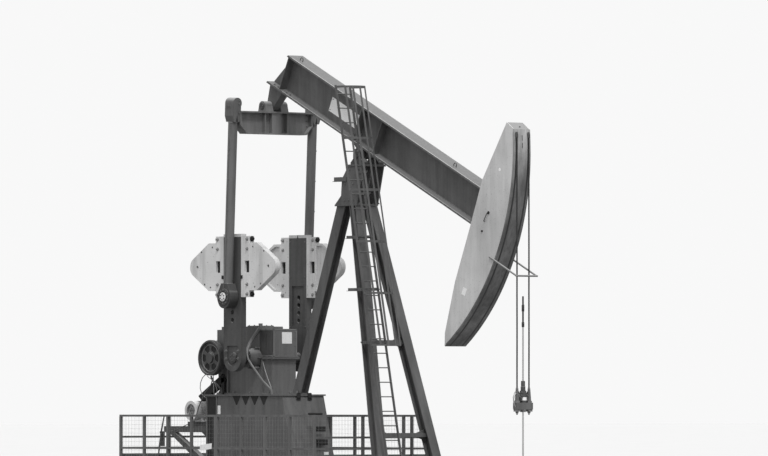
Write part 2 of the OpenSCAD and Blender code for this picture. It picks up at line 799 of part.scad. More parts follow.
module head_face() {
    color(steel_mid) at_beam() {
        intersection() {
            rotate([90, 0, 0]) rotate([0, 0, -head_half_angle])
                rotate_extrude(angle = 2 * head_half_angle, $fn = 360)
                translate([face_r - face_t, -head_half_bottom - 50]) square([face_t,
                    2 * head_half_bottom + 100]);
            rotate([0, 90, 0]) linear_extrude(6000) polygon([
                [-head_top_n - 200, -head_half_top + 2], [-head_top_n - 200, head_half_top - 2],
                [head_top_n + 200, head_half_bottom + 2], [head_top_n + 200, -head_half_bottom - 2]]);
        }
        for (n = head_ribs) head_rib(n);
    }
}
guard_n = -190;
guard_reach = 5290;
guard_run = 870;
guard_d = 36;
module rope_guard() {
    half = head_half(guard_n - guard_d / 2) + guard_d / 2 + seat_gap;
    color(galvanised) at_beam() {
        for (s = [-1, 1]) translate([guard_reach - guard_run, s * half, guard_n]) rotate([0, 90, 0])
            cylinder(d = guard_d, h = guard_run, $fn = 24);
        translate([guard_reach, 0, guard_n]) rotate([90, 0, 0])
            cylinder(d = guard_d, h = 2 * half + guard_d, center = true, $fn = 24);
    }
}
wrap_top = head_half_angle - 1.2;
wrap_from = beam_tilt + seat_gap / head_reach * 180 / PI;
module head_rope() {
    color(steel_dark) at_beam() for (s = [-1, 1]) translate([0, s * rope_gap / 2, 0])
        rotate([90, 0, 0]) rotate([0, 0, wrap_from]) rotate_extrude(angle = wrap_top - wrap_from, $fn = 360)
        translate([head_reach, 0]) circle(d = rope_d, $fn = 24);
}

// Equalizer and pitmans
eq_half = pitman_y - pitman_d / 2 - 1;
eq_top = tail_z - 110;
eq_bottom = tail_z - 555;
eq_t = 40;
eq_chamfer = 170;
module equalizer() {
    flat = eq_half - 155;
    color(steel_mid) {
        translate([tail_x, 0, 0]) {
            rotate([90, 0, 90]) translate([0, 0, -eq_t / 2]) linear_extrude(eq_t) polygon([
                [-eq_half, eq_top], [eq_half, eq_top], [eq_half, eq_bottom + eq_chamfer], [flat, eq_bottom],
                [-flat, eq_bottom], [-eq_half, eq_bottom + eq_chamfer]]);
            translate([-130, -eq_half, eq_top - 30]) cube([260, 2 * eq_half, 30]);
            translate([-110, -flat, eq_bottom]) cube([220, 2 * flat, 25]);
            for (s = [-1, 1]) rotate([90, 0, 90]) translate([0, 0, -110]) linear_extrude(220) polygon([
                [s * flat, eq_bottom], [s * eq_half, eq_bottom + eq_chamfer], [s * eq_half,
                    eq_bottom + eq_chamfer + 30],
                [s * (flat - 8), eq_bottom + 25], [s * (flat - 8), eq_bottom]]);
            for (y = [-eq_half, -300, -115, 90, 275, eq_half - 25])
                translate([-105, y, eq_bottom + (abs(y) > 400 ? eq_chamfer + 5 : 10)])
                cube([210, 25, eq_top - eq_bottom - 20 - (abs(y) > 400 ? eq_chamfer + 5 : 10)]);
            translate([-105, -115, eq_bottom + 10]) cube([210, 230, eq_top - eq_bottom - 20]);
        }
        both_sides() difference() {
            translate([tail_x, 0, 0]) along_y(tail_in + 5, tail_out) {
                translate([0, tail_z]) circle(r = 100);
                polygon([[-130, eq_top], [130, eq_top], [100, tail_z], [-100, tail_z]]);
            }
            translate([tail_x, 0, tail_z]) rotate([90, 0, 0]) cylinder(r = journal_r + play, h = 2000,
                center = true);
        }
    }
}
module at_pitman() {
    translate([-crank_back, 0, wrist_z]) rotate([0, pitman_lean, 0]) children();
}
module pitman() {
    at_pitman() translate([0, pitman_y, 0]) {
        translate([0, 0, wrist_r + 60]) cylinder(d = pitman_d, h = pitman_len - wrist_r - 60 - 320);
        // Bracket with a rounded top and two cheeks that close in on the tube
        difference() {
            translate([-125, 0, pitman_len]) rotate([90, 0, 90]) linear_extrude(250) {
                translate([0, 40]) circle(r = 110);
                polygon([[eq_half - pitman_y, -210], [-70, -330], [70, -330], [110, -210], [110, 40],
                    [eq_half - pitman_y, 40]]);
            }
            translate([-200, 0, pitman_len - 300]) rotate([90, 0, 90]) linear_extrude(400)
                polygon([[-28, -40], [28, -40], [0, 110]]);
        }
    }
}
module pitman_near() {
    color(steel_mid) mirror([0, 1, 0]) pitman();
}
module pitman_far() {
    color(steel_mid) pitman();
}
module wrist_bearing() {
    y0 = crank_out + open_gap;
    y1 = 2 * pitman_y - y0;
    at_pitman() {
        along_y(y0 + 4, y1 - 4) {
            circle(r = wrist_r);
            polygon([[-wrist_r * 0.98, 40], [-95, wrist_r + 60], [95, wrist_r + 60], [wrist_r * 0.98, 40]]);
            translate([0, -40]) circle(r = wrist_r - 20);
        }
        along_y(y1 - 5, y1 + 10) difference() {
            circle(r = wrist_r - 40);
            circle(r = pin_r + 20);
        }
        translate([0, y1 + 20, 0]) rotate([90, 0, 0]) cylinder(r = pin_r, h = y1 + 20 - y0);
    }
}
module wrist_bearing_near() {
    color(steel_mid) mirror([0, 1, 0]) wrist_bearing();
}
module wrist_bearing_far() {
    color(steel_mid) wrist_bearing();
}

// Carrier bar, rod and rope falls
carrier_z = pivot_z - carrier_drop;
carrier_h = 130;
carrier_half = rope_gap / 2 + 50;
socket_h = 260;
module carrier_bar() {
    color(steel_dark) difference() {
        union() {
            translate([head_reach - 60, -carrier_half, carrier_z - carrier_h / 2])
                cube([120, 2 * carrier_half, carrier_h]);
            for (s = [-1, 1]) translate([head_reach, s * rope_gap / 2, carrier_z + carrier_h / 2])
                cylinder(r1 = 45, r2 = 26, h = socket_h);
        }
        translate([head_reach, 0, carrier_z - 500]) cylinder(r = rod_d / 2 + seat_gap, h = 1000);
    }
}
pin_end_r = 12;
pin_end_len = 40;
module polished_rod() {
    color([0.8, 0.8, 0.8]) translate([head_reach, 0, carrier_z - rod_below]) {
        cylinder(r = pin_end_r, h = pin_end_len);
        translate([0, 0, pin_end_len]) cylinder(r = rod_d / 2, h = rod_below + rod_above - pin_end_len);
    }
}
module rod_clamp() {
    color(steel_dark) translate([head_reach, 0, carrier_z + carrier_h / 2]) difference() {
        union() {
            cylinder(r = 60, h = 230);
            translate([-45, -95, 30]) cube([90, 190, 160]);
        }
        translate([0, 0, -1]) cylinder(r = rod_d / 2 + seat_gap, h = 300);
    }
}
module bridle() {
    color(steel_dark) for (s = [-1, 1])
        translate([head_reach, s * rope_gap / 2, carrier_z + carrier_h / 2 + socket_h])
            cylinder(r = rope_d / 2, h = pivot_z - carrier_z - carrier_h / 2 - socket_h);
}

base_beams();
base_cross_beams();
pedestal();
reducer_case();
reducer_cover();
input_sheave();
brake_drum();
motor_platform();
motor();
drive_belt();
post_front_legs();
post_rear_leg();
post_girts();
post_head();
centre_bearing();
ladder();
ladder_cage();
fence_near();
fence_far();
fence_rear();
fence_front();
crankshaft();
crank_near();
crank_far();
weight_near_rear();
weight_near_front();
weight_far_rear();
weight_far_front();
walking_beam();
beam_saddle();
tail_bracket();
head_plate_near();
head_plate_far();
head_face();
rope_guard();
head_rope();
equalizer();
pitman_near();
pitman_far();
wrist_bearing_near();
wrist_bearing_far();
carrier_bar();
polished_rod();
rod_clamp();
bridle();
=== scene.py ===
import bmesh
import bpy
import math
from contextlib import contextmanager
from itertools import product
from mathutils import Matrix, Vector


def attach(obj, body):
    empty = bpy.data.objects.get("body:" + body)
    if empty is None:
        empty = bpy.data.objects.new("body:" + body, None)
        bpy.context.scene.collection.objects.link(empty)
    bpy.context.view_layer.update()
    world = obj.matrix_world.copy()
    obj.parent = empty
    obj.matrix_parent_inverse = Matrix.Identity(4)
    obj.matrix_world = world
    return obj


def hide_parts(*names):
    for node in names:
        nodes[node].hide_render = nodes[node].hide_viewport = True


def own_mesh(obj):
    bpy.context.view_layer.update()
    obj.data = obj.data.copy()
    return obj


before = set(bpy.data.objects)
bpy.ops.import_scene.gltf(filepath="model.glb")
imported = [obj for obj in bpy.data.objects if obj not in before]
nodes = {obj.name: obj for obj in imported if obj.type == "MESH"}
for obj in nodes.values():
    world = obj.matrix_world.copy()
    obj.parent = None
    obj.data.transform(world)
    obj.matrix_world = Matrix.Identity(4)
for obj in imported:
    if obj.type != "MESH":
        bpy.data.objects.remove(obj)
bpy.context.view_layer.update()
scene = bpy.context.scene
collection = scene.collection

SIDES = ((-1, "near"), (1, "far"))
UP, DOWN = (0, 0, 1), (0, 0, -1)
FRONT, BACK = (1, 0, 0), (-1, 0, 0)
NEAR = (0, -1, 0)

# Sizes that follow the CAD source, in metres. X is along the unit towards the well, z is above the ground,
# y is from the middle outwards, and u and n are x and z in the beam's own tilted frame.
PIVOT = Vector((0, 0, 7.0))  # centre bearing
TILT = math.radians(25.2)  # of the beam, head down
HEAD = 4.6  # radius of the rope on the head, and x of its falls
HEAD_FACE_R = 4.5845
HEAD_TOP_N = 2.278
HEAD_HALF_TOP, HEAD_HALF_BOTTOM = 0.208, 0.262  # half-widths over the side plates
HEAD_SLOPE = (HEAD_HALF_BOTTOM - HEAD_HALF_TOP) / (2 * HEAD_TOP_N)
CRANK = Vector((-3.048, 0, 3.05))  # crankshaft
CRANK_Y = 0.835  # middle of a crank and its weights
CRANK_HALF = 0.27  # half of a crank's width
STRIP_OUT, STRIP_IN = 0.900, 0.770  # outer and inner faces of the weights' clamp strips
WEIGHT_Z = 4.84  # middle of the weights
WRIST_Z = 4.244
PITMAN_LEAN = math.radians(2.63)
PITMAN_Y = 1.015
TAIL_X, TAIL_Z = -2.875081, 8.012034  # tail bearing
ROPE_D = 0.032
ROPE_Y = 0.151
SHAFT_X, DRUM_X, SHAFT_Z = -3.048, -4.198, 3.05  # reducer's slow and fast shafts
DRUM_Y = -0.50  # middle of the brake drum
MOTOR_X, MOTOR_Z = -4.98, 2.01  # motor's shaft
DECK_Z = 2.331  # pedestal's top plate
NOSE_X = -2.5085  # front of the reducer
SADDLE_N, BEAM_TOP_N = 0.1565, 0.8695  # upper faces of the beam's flanges
BRACKET_Z = (4.33, 5.35, 3.30)  # ladder's brackets
CAP_H = 0.014  # thickness of the bearings' end caps

AT_BEAM = Matrix.Translation(PIVOT) @ Matrix.Rotation(TILT, 4, "Y")
AT_PITMAN = Matrix.Translation((CRANK.x, 0, WRIST_Z)) @ Matrix.Rotation(PITMAN_LEAN, 4, "Y")


# ---------------------------------------------------------------- materials
def grey(v):
    return (v, v, v)


class Mat:
    """A procedural material under construction."""

    def __init__(self, name):
        self.mat = bpy.data.materials.new(name)
        self.mat.use_nodes = True
        self.tree = self.mat.node_tree
        self.bsdf = self.tree.nodes["Principled BSDF"]
        self.coord = self.node("ShaderNodeTexCoord").outputs["Object"]

    def node(self, kind, inputs=(), **values):
        n = self.tree.nodes.new(kind)
        for k, v in values.items():
            setattr(n, k, v)
        for k, v in dict(inputs).items():
            n.inputs[k].default_value = v
        return n

    def link(self, a, b):
        self.tree.links.new(a, b)

    def feed(self, socket, v):
        """Links an output to a socket, or sets its number."""
        if isinstance(v, (int, float)):
            socket.default_value = v
        else:
            self.link(v, socket)

    def noise(self, scale, detail=4.0, stretch=(1, 1, 1), rough=0.55, shift=0.0):
        m = self.node("ShaderNodeMapping", {"Scale": stretch, "Location": (shift, shift * 1.7, shift * 0.6)})
        self.link(self.coord, m.inputs["Vector"])
        n = self.node("ShaderNodeTexNoise", {"Scale": scale, "Detail": detail, "Roughness": rough})
        self.link(m.outputs["Vector"], n.inputs["Vector"])
        return n.outputs["Fac"]

    def ramp(self, value, stops):
        r = self.node("ShaderNodeValToRGB")
        while len(r.color_ramp.elements) < len(stops):
            r.color_ramp.elements.new(0.5)
        for e, (position, v) in zip(r.color_ramp.elements, stops):
            e.position = position
            e.color = grey(v) + (1,)
        self.link(value, r.inputs["Fac"])
        return r.outputs["Color"]

    def mix(self, a, b, factor, blend="MIX"):
        m = self.node("ShaderNodeMix", data_type="RGBA", blend_type=blend)
        for name, v in (("A", a), ("B", b)):
            socket = [i for i in m.inputs if i.name == name and i.type == "RGBA"][0]
            if isinstance(v, tuple):
                socket.default_value = v + (1,)
            else:
                self.link(v, socket)
        self.feed([i for i in m.inputs if i.name == "Factor" and i.type == "VALUE"][0], factor)
        return [o for o in m.outputs if o.type == "RGBA"][0]

    def share(self, value, low, high):
        """0 at the low value, 1 at the high one."""
        r = self.node("ShaderNodeMapRange", {"From Min": low, "From Max": high}, clamp=True)
        self.link(value, r.inputs["Value"])
        return r.outputs["Result"]

    def z_of(self, vector):
        s = self.node("ShaderNodeSeparateXYZ")
        self.link(vector, s.inputs["Vector"])
        return s.outputs["Z"]

    def up(self):
        """1 on faces that look up, 0 on upright and lower faces."""
        return self.share(self.z_of(self.node("ShaderNodeNewGeometry").outputs["Normal"]), 0.35, 0.95)

    def bump(self, height, strength, distance=0.002):
        b = self.node("ShaderNodeBump", {"Strength": strength, "Distance": distance})
        self.link(height, b.inputs["Height"])
        self.link(b.outputs["Normal"], self.bsdf.inputs["Normal"])

    def finish(self, color, rough, metal=0.0, spec=0.5):
        self.link(color, self.bsdf.inputs["Base Color"])
        self.feed(self.bsdf.inputs["Roughness"], rough)
        self.bsdf.inputs["Metallic"].default_value = metal
        self.bsdf.inputs["Specular IOR Level"].default_value = spec
        return self.mat


def paint(name, base, wear=0.25, dust_and_top_light=0.2, rough=0.55, spec=0.35, shift=0.0):
    """Weathered paint: soft variation, run-off streaks, specks, and paler upper faces, partly dust and partly
    painted sky light.
    """
    m = Mat(name)
    soft = m.ramp(m.noise(0.9, 5, shift=shift), [(0.3, base * (1 - 0.18)), (0.72, base * 1.12)])
    streak = m.ramp(m.noise(1.0, 6, (7, 7, 0.55), 0.6, shift + 3), [(0.36, 1.0 - wear), (0.6, 1.0)])
    color = m.mix(soft, streak, 0.9, "MULTIPLY")
    speck = m.ramp(m.noise(38, 3, shift=shift + 9), [(0.30, 0.55), (0.40, 1.0)])
    color = m.mix(color, speck, 0.55, "MULTIPLY")
    # Upward faces lifted towards a paler grey: partly dust, partly painted light from the sky.
    color = m.mix(color, grey(min(0.9, base + dust_and_top_light)), m.up())
    rough_map = m.ramp(m.noise(14, 4, shift=shift + 5), [(0.3, rough - 0.1), (0.7, rough + 0.12)])
    m.bump(m.noise(120, 3, shift=shift + 1), 0.18, 0.0006)
    return m.finish(color, rough_map, 0.0, spec)


def metal(name, base, rough, scale=60.0, stretch=(1, 1, 1), metallic=1.0, dark=0.75):
    """Bare or plated steel, mottled between its tone and a darker share of it."""
    m = Mat(name)
    color = m.ramp(m.noise(scale, 4, stretch), [(0.3, base * dark), (0.7, base)])
    rough_map = m.ramp(m.noise(scale * 0.4, 3), [(0.3, rough), (0.7, min(1, rough + 0.15))])
    m.bump(m.noise(scale * 3, 2, stretch), 0.08, 0.0004)
    return m.finish(color, rough_map, metallic)


def rope_paint(name, base):
    """Wire rope from a distance: slanting bands for the strands, with grease between them."""
    m = Mat(name)
    w = m.node("ShaderNodeTexWave", {"Scale": 26, "Distortion": 0.6}, wave_type="BANDS",
               bands_direction="DIAGONAL")
    m.link(m.coord, w.inputs["Vector"])
    color = m.ramp(w.outputs["Fac"], [(0.2, base * 0.45), (0.7, base * 1.25)])
    color = m.mix(color, m.ramp(m.noise(30, 4), [(0.35, 0.6), (0.65, 1.0)]), 0.7, "MULTIPLY")
    m.bump(w.outputs["Fac"], 0.5, 0.002)
    return m.finish(color, 0.6, 0.4)


def chalky_paint(name, base):
    """The weights' paint, with stains and small chips."""
    m = Mat(name)
    color = m.ramp(m.noise(1.7, 7, shift=2), [(0.3, base * 0.86), (0.68, base * 1.04)])
    stain = m.ramp(m.noise(1.0, 6, (5, 5, 0.5), 0.65, 4), [(0.36, 0.66), (0.52, 1.0)])
    color = m.mix(color, stain, 0.55, "MULTIPLY")
    chip = m.ramp(m.noise(26, 5, shift=7), [(0.31, 0.42), (0.36, 1.0)])
    color = m.mix(color, chip, 0.75, "MULTIPLY")
    m.bump(m.noise(70, 4), 0.3, 0.001)
    return m.finish(color, m.ramp(m.noise(9, 3), [(0.3, 0.62), (0.7, 0.85)]), 0.0, 0.25)


def stained_face_shaded_below(name, low, high, z0, z1):
    """Oil-stained face of the horsehead with run-off streaks, darker below and paler above; the darker lower
    part is painted shade where the face turns down.
    """
    m = Mat(name)
    # Painted shade: the face darkens from z1 down to z0 and stays dark below it.
    color = m.ramp(m.share(m.z_of(m.coord), z0, z1), [(0.0, low), (1.0, high)])
    for noise, stops, factor in (
            (m.noise(2.2, 6, (1, 1, 0.5), 0.65, 3), [(0.34, 0.5), (0.62, 1.15)], 0.9),
            (m.noise(1.0, 6, (16, 16, 0.8), 0.6, 6), [(0.35, 0.6), (0.6, 1.0)], 0.7),
            (m.noise(30, 3, shift=9), [(0.30, 0.5), (0.38, 1.0)], 0.6)):
        color = m.mix(color, m.ramp(noise, stops), factor, "MULTIPLY")
    m.bump(m.noise(90, 3), 0.2, 0.0008)
    return m.finish(color, 0.5, 0.0, 0.4)


def rubber(name, base):
    m = Mat(name)
    color = m.ramp(m.noise(20, 4), [(0.3, base * 0.7), (0.7, base * 1.6)])
    m.bump(m.noise(160, 2), 0.2, 0.0005)
    return m.finish(color, 0.75, 0.0, 0.3)


MATS = {
    "dark": paint("paint_dark", 0.095, 0.3, 0.20, 0.55),
    "leg": paint("paint_leg", 0.12, 0.25, 0.18, 0.5, shift=8),
    "beam": paint("paint_beam", 0.13, 0.3, 0.07, 0.5, shift=12),
    "pale": paint("paint_pale", 0.60, 0.16, 0.2, 0.5, shift=16),
    "face": stained_face_shaded_below("paint_face", 0.19, 0.50, 6.0, 7.3),
    "pedestal": paint("paint_pedestal", 0.13, 0.3, 0.3, 0.55, shift=24),
    "reducer": paint("paint_reducer", 0.145, 0.25, 0.22, 0.5, shift=28),
    "crank": paint("paint_crank", 0.09, 0.3, 0.16, 0.6, shift=32),
    "pitman": paint("paint_pitman", 0.165, 0.25, 0.2, 0.5, shift=36),
    "equalizer": paint("paint_equalizer", 0.20, 0.3, 0.2, 0.5, shift=40),
    "weight": chalky_paint("paint_weight", 0.70),
    "fence": paint("paint_fence", 0.14, 0.3, 0.15, 0.6, shift=44),
    "mesh": metal("mesh_wire", 0.40, 0.5, 40, metallic=0.4),
    "rail": paint("paint_rail", 0.22, 0.3, 0.2, 0.5, shift=48),
    "ladder": paint("paint_ladder", 0.125, 0.3, 0.12, 0.5, shift=72),
    "motor": paint("paint_motor", 0.70, 0.25, 0.15, 0.5, shift=52),
    "cast": paint("paint_cast", 0.08, 0.3, 0.2, 0.6, shift=56),
    "rubber": rubber("belt", 0.02),
    "rope": rope_paint("wire_rope", 0.05),
    "strand": metal("wire_strand", 0.05, 0.6, 90, metallic=0.1, dark=0.5),
    "bright": metal("bright_rod", 0.82, 0.16, 40, (1, 1, 0.1), 1.0, 0.85),
    "greased": metal("greased_rod", 0.06, 0.35, 30, (1, 1, 0.2), 0.3, 0.6),
    "bolt": metal("bolt_steel", 0.2, 0.5, 80, metallic=0.5),
    "zinc": metal("zinc", 0.42, 0.42, 45, metallic=0.7),
    "white": paint("plate_white", 0.92, 0.06, 0.0, 0.45, shift=60),
    "black": paint("shadow_black", 0.02, 0.2, 0.03, 0.7, shift=64),
    "hose": rubber("hose", 0.05),
    "light_pipe": paint("pipe_light", 0.42, 0.15, 0.1, 0.4, shift=68),
}
NODES_OF_MAT = {
    "dark": ("base_beams", "base_cross_beams", "motor_platform", "rod_clamp"),
    "pedestal": ("pedestal",),
    "reducer": ("reducer_case", "reducer_cover", "carrier_bar"),
    "cast": ("input_sheave", "brake_drum", "centre_bearing", "crankshaft", "wrist_bearing_near",
             "wrist_bearing_far"),
    "motor": ("motor",),
    "rubber": ("drive_belt",),
    "leg": ("post_front_legs", "post_rear_leg", "post_girts", "post_head"),
    "ladder": ("ladder", "ladder_cage"),
    "fence": ("fence_near", "fence_far", "fence_rear", "fence_front"),
    "crank": ("crank_near", "crank_far"),
    "weight": ("weight_near_rear", "weight_near_front", "weight_far_rear", "weight_far_front"),
    "beam": ("walking_beam", "beam_saddle", "tail_bracket"),
    "pale": ("head_plate_near", "head_plate_far"),
    "face": ("head_face",),
    "rail": ("rope_guard",),
    "rope": ("head_rope", "bridle"),
    "equalizer": ("equalizer",),
    "pitman": ("pitman_near", "pitman_far"),
    "bright": ("polished_rod",),
}
for mat, names in NODES_OF_MAT.items():
    for obj in (nodes[name] for name in names):
        if not obj.material_slots:
            obj.data.materials.append(MATS[mat])
        for s in obj.material_slots:
            s.material = MATS[mat]


# ---------------------------------------------------------------- mesh building
def any_across(axis):
    """A direction that isn't along the axis."""
    return Vector((0, 0, 1)) if abs(axis.z) < 0.9 else Vector((1, 0, 0))


def axes_from(axis):
    """The axis as a unit vector, and two more square to it."""
    a = Vector(axis).normalized()
    ref = any_across(a)
    u = (ref - a * ref.dot(a)).normalized()
    return a, u, a.cross(u)


def steps_round(count, start=0.0):
    """The angles of a full turn in equal steps."""
    return [start + k * math.tau / count for k in range(count)]


def circle(x, y, z, radius, count):
    """Points of a circle about an axis along y."""
    return [(x + radius * math.cos(t), y, z + radius * math.sin(t)) for t in steps_round(count)]


class Build:
    """Collects the vertices and faces of one piece, in the part's own frame, in metres."""

    def __init__(self, place=Matrix.Identity(4)):
        self.verts = []
        self.faces = []
        self.place = place

    def add(self, verts, faces):
        n = len(self.verts)
        self.verts += [self.place @ Vector(p) for p in verts]
        self.faces += [tuple(n + i for i in f) for f in faces]

    def box(self, corner, other):
        """A box between two opposite corners, in any order."""
        (x0, x1), (y0, y1), (z0, z1) = (sorted(pair) for pair in zip(corner, other))
        self.add([(x0, y0, z0), (x1, y0, z0), (x1, y1, z0), (x0, y1, z0),
                  (x0, y0, z1), (x1, y0, z1), (x1, y1, z1), (x0, y1, z1)],
                 [(0, 3, 2, 1), (4, 5, 6, 7), (0, 1, 5, 4), (1, 2, 6, 5), (2, 3, 7, 6), (3, 0, 4, 7)])

    def tube(self, path, r, sides=8, closed=False, caps=True, twist=0.0):
        """A round bar along a path, with its section carried smoothly round the bends."""
        pts = [Vector(p) for p in path]
        n = len(pts)
        radii = r if isinstance(r, (list, tuple)) else [r] * n
        ref = None
        verts = []
        for i, p in enumerate(pts):
            before = pts[(i - 1) % n] if (closed or i > 0) else pts[0]
            after = pts[(i + 1) % n] if (closed or i < n - 1) else pts[-1]
            t = (after - before).normalized()
            if ref is None:
                ref = any_across(t)
            ref = (ref - t * ref.dot(t)).normalized()
            other = t.cross(ref)
            verts += [p + ref * (radii[i] * math.cos(k * math.tau / sides + twist)) +
                      other * (radii[i] * math.sin(k * math.tau / sides + twist)) for k in range(sides)]
        faces = []
        for i in range(n if closed else n - 1):
            j = (i + 1) % n
            for k in range(sides):
                after = (k + 1) % sides
                faces.append((i * sides + k, i * sides + after, j * sides + after, j * sides + k))
        if caps and not closed:
            faces.append(tuple(range(sides - 1, -1, -1)))
            faces.append(tuple((n - 1) * sides + k for k in range(sides)))
        self.add(verts, faces)

    def prism(self, outline, axis, lo, hi):
        """A closed outline pushed along an axis. On Y the outline is (x, z), on X (y, z)."""
        def at(p, t):
            return (p[0], t, p[1]) if axis == "y" else (t, p[0], p[1])

        n = len(outline)
        verts = [at(p, lo) for p in outline] + [at(p, hi) for p in outline]
        faces = [tuple(range(n)), tuple(range(2 * n - 1, n - 1, -1))]
        faces += [(i, (i + 1) % n, n + (i + 1) % n, n + i) for i in range(n)]
        self.add(verts, faces)

    def disc(self, centre, axis, r0, r1, h, sides=48):
        """A turned disc standing on a plane, its edge eased at the outer face."""
        a = Vector(axis).normalized()
        c = Vector(centre)
        self.tube([c - a * 0.001, c + a * (h * 0.75), c + a * h], [r0, r0, r1], sides)

    def bolt(self, at, axis, r=0.014, head=0.012, stud=0.006):
        """A hex nut of radius r and height head, on its washer, with a stud end out of it."""
        a, u, w = axes_from(axis)
        p = Vector(at)
        foot, washer = -0.001, 0.003

        def drum(rad, h0, h1, sides, chamfer=0.0):
            rows = [(rad, h0), (rad, h1 - chamfer)]
            if chamfer:
                rows.append((rad * 0.86, h1))
            verts = [p + a * h + u * (row_r * math.cos(t)) + w * (row_r * math.sin(t))
                     for row_r, h in rows for t in steps_round(sides)]
            faces = []
            for i in range(len(rows) - 1):
                for k in range(sides):
                    after = (k + 1) % sides
                    faces.append((i * sides + k, i * sides + after,
                                  (i + 1) * sides + after, (i + 1) * sides + k))
            faces.append(tuple((len(rows) - 1) * sides + k for k in range(sides)))
            self.add(verts, faces)

        drum(r * 1.5, foot, washer, 14)
        drum(r * 1.155, washer, washer + head, 6, head * 0.18)
        drum(r * 0.55, washer + head - 0.001, washer + head + stud, 8)

    def bolts(self, xs, ys, zs, axis, *size):
        """A bolt wherever the rows cross."""
        for at in product(xs, ys, zs):
            self.bolt(at, axis, *size)

    def bolt_ring(self, centre, axis, radius, n, r=0.012, turn=0.0, head=0.012, stud=0.005):
        _, u, w = axes_from(axis)
        for t in steps_round(n, turn):
            self.bolt(Vector(centre) + u * (radius * math.cos(t)) + w * (radius * math.sin(t)),
                      axis, r, head, stud)

    def make(self, name, body, mat, smooth):
        me = bpy.data.meshes.new(name)
        me.from_pydata([tuple(p) for p in self.verts], [], self.faces)
        me.validate()
        me.update()
        bm = bmesh.new()
        bm.from_mesh(me)
        bmesh.ops.recalc_face_normals(bm, faces=bm.faces)
        bm.to_mesh(me)
        bm.free()
        obj = bpy.data.objects.new(name, me)
        collection.objects.link(obj)
        me.materials.append(MATS[mat])
        if smooth:
            for p in me.polygons:
                p.use_smooth = len(p.vertices) == 4
            mod = obj.modifiers.new("edges", "EDGE_SPLIT")
            mod.split_angle = math.radians(40)
        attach(obj, body)
        return obj


@contextmanager
def piece(name, body, mat, smooth=False, place=Matrix.Identity(4)):
    """Opens a piece for building and makes it at the end of the block."""
    b = Build(place)
    yield b
    b.object = b.make(name, body, mat, smooth)


# ---------------------------------------------------------------- rope falls with their strands
STRANDS = 6
LAY_TURNS = 20
STEPS_PER_TURN = 9


def strands(b, y, z0, z1):
    """The strands of one fall, wound round its axis."""
    r_strand = ROPE_D / 2 * 0.36
    r_lay = ROPE_D / 2 - r_strand
    steps = LAY_TURNS * STEPS_PER_TURN
    for start in steps_round(STRANDS):
        path = []
        for i in range(steps + 1):
            t = i / steps
            a = start + t * LAY_TURNS * math.tau
            path.append((HEAD + r_lay * math.cos(a), y + r_lay * math.sin(a), z0 + (z1 - z0) * t))
        b.tube(path, r_strand, 5, caps=False)


with piece("bridle_falls", "root", "strand", smooth=True) as b:
    for side, _ in SIDES:
        strands(b, side * ROPE_Y, 2.436, PIVOT.z)
falls = b.object
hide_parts("bridle")
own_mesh(falls)

# ---------------------------------------------------------------- fence mesh
MESH_Z0, MESH_Z1 = 0.47, 1.9
MESH_PITCH = 0.085
WIRE_R = 0.001
EIGHTH_TURN = 0.785


def mesh_panel(b, along, a0, a1, fixed):
    """Welded wire between posts: upright wires, and level wires against their other side."""
    def at(a, z, off):
        return (a, fixed + off, z) if along == "x" else (fixed + off, a, z)

    def wire(start, end):
        b.tube([start, end], WIRE_R, 4, caps=False, twist=EIGHTH_TURN)

    columns = round((a1 - a0) / MESH_PITCH)
    for i in range(1, columns):
        a = a0 + (a1 - a0) * i / columns
        wire(at(a, MESH_Z0, -WIRE_R), at(a, MESH_Z1, -WIRE_R))
    rows = round((MESH_Z1 - MESH_Z0) / MESH_PITCH)
    for i in range(1, rows):
        z = MESH_Z0 + (MESH_Z1 - MESH_Z0) * i / rows
        wire(at(a0, z, WIRE_R), at(a1, z, WIRE_R))


for name, *panel in (("near", "x", -5.875, 0.135, -1.45), ("far", "x", -5.875, 0.135, 1.45),
                     ("rear", "y", -1.425, 1.425, -5.875), ("front", "y", -1.425, 1.425, 0.135)):
    with piece("fence_mesh_" + name, "root", "mesh") as b:
        mesh_panel(b, *panel)

# ---------------------------------------------------------------- counterweights
# Clamp bolts through the strips, jack screws at the strips' ends, black discs and a black sheet as painted
# shade in the holes and the slot, and cleats
for side, sname in SIDES:
    out = Vector((0, side, 0))
    mid_y = side * CRANK_Y
    for sgn, ename in ((-1, "rear"), (1, "front")):
        suffix = "%s_%s" % (sname, ename)

        def across(dx):
            """x at a distance from the crank's middle, on this weight's side."""
            return CRANK.x + sgn * dx

        with piece("weight_bolts_" + suffix, "crank", "zinc") as b:
            x = across(CRANK_HALF + 0.19)
            for dz in (-0.54, -0.35, 0.35, 0.54):
                b.bolt((x, side * STRIP_OUT, WEIGHT_Z + dz), out, 0.024, 0.022, 0.016)
                b.bolt((x, side * STRIP_IN, WEIGHT_Z + dz), -out, 0.024, 0.02, 0.006)
        with piece("weight_screws_" + suffix, "crank", "black") as b:
            x = across(0.515)
            for z in (WEIGHT_Z - 0.545, WEIGHT_Z + 0.545):
                b.tube([(x - sgn * 0.002, mid_y, z), (x + sgn * 0.055, mid_y, z)], 0.022, 12)
                b.bolt((x + sgn * 0.02, mid_y, z), (sgn, 0, 0), 0.036, 0.03, 0.02)
        # Black discs in the holes and a black sheet inside the slot: painted shade in them.
        with piece("weight_hole_shade_and_cleats_" + suffix, "crank", "black", smooth=True) as b:
            for dx, dz in ((0.60, -0.34), (0.42, -0.40), (0.36, 0.39), (0.70, 0.30)):
                b.disc((across(CRANK_HALF + dx), side * 0.895, WEIGHT_Z + dz), out, 0.016, 0.013, 0.004, 16)
            b.box((across(0.377), mid_y - 0.012, 4.72), (across(0.518), mid_y + 0.012, 4.96))
            b.disc((across(1.10), mid_y, WEIGHT_Z), out, 0.0325, 0.0325, 0.02, 20)
            b.box((across(0.272), side * 0.899, 4.60), (across(0.318), side * 0.918, 4.67))
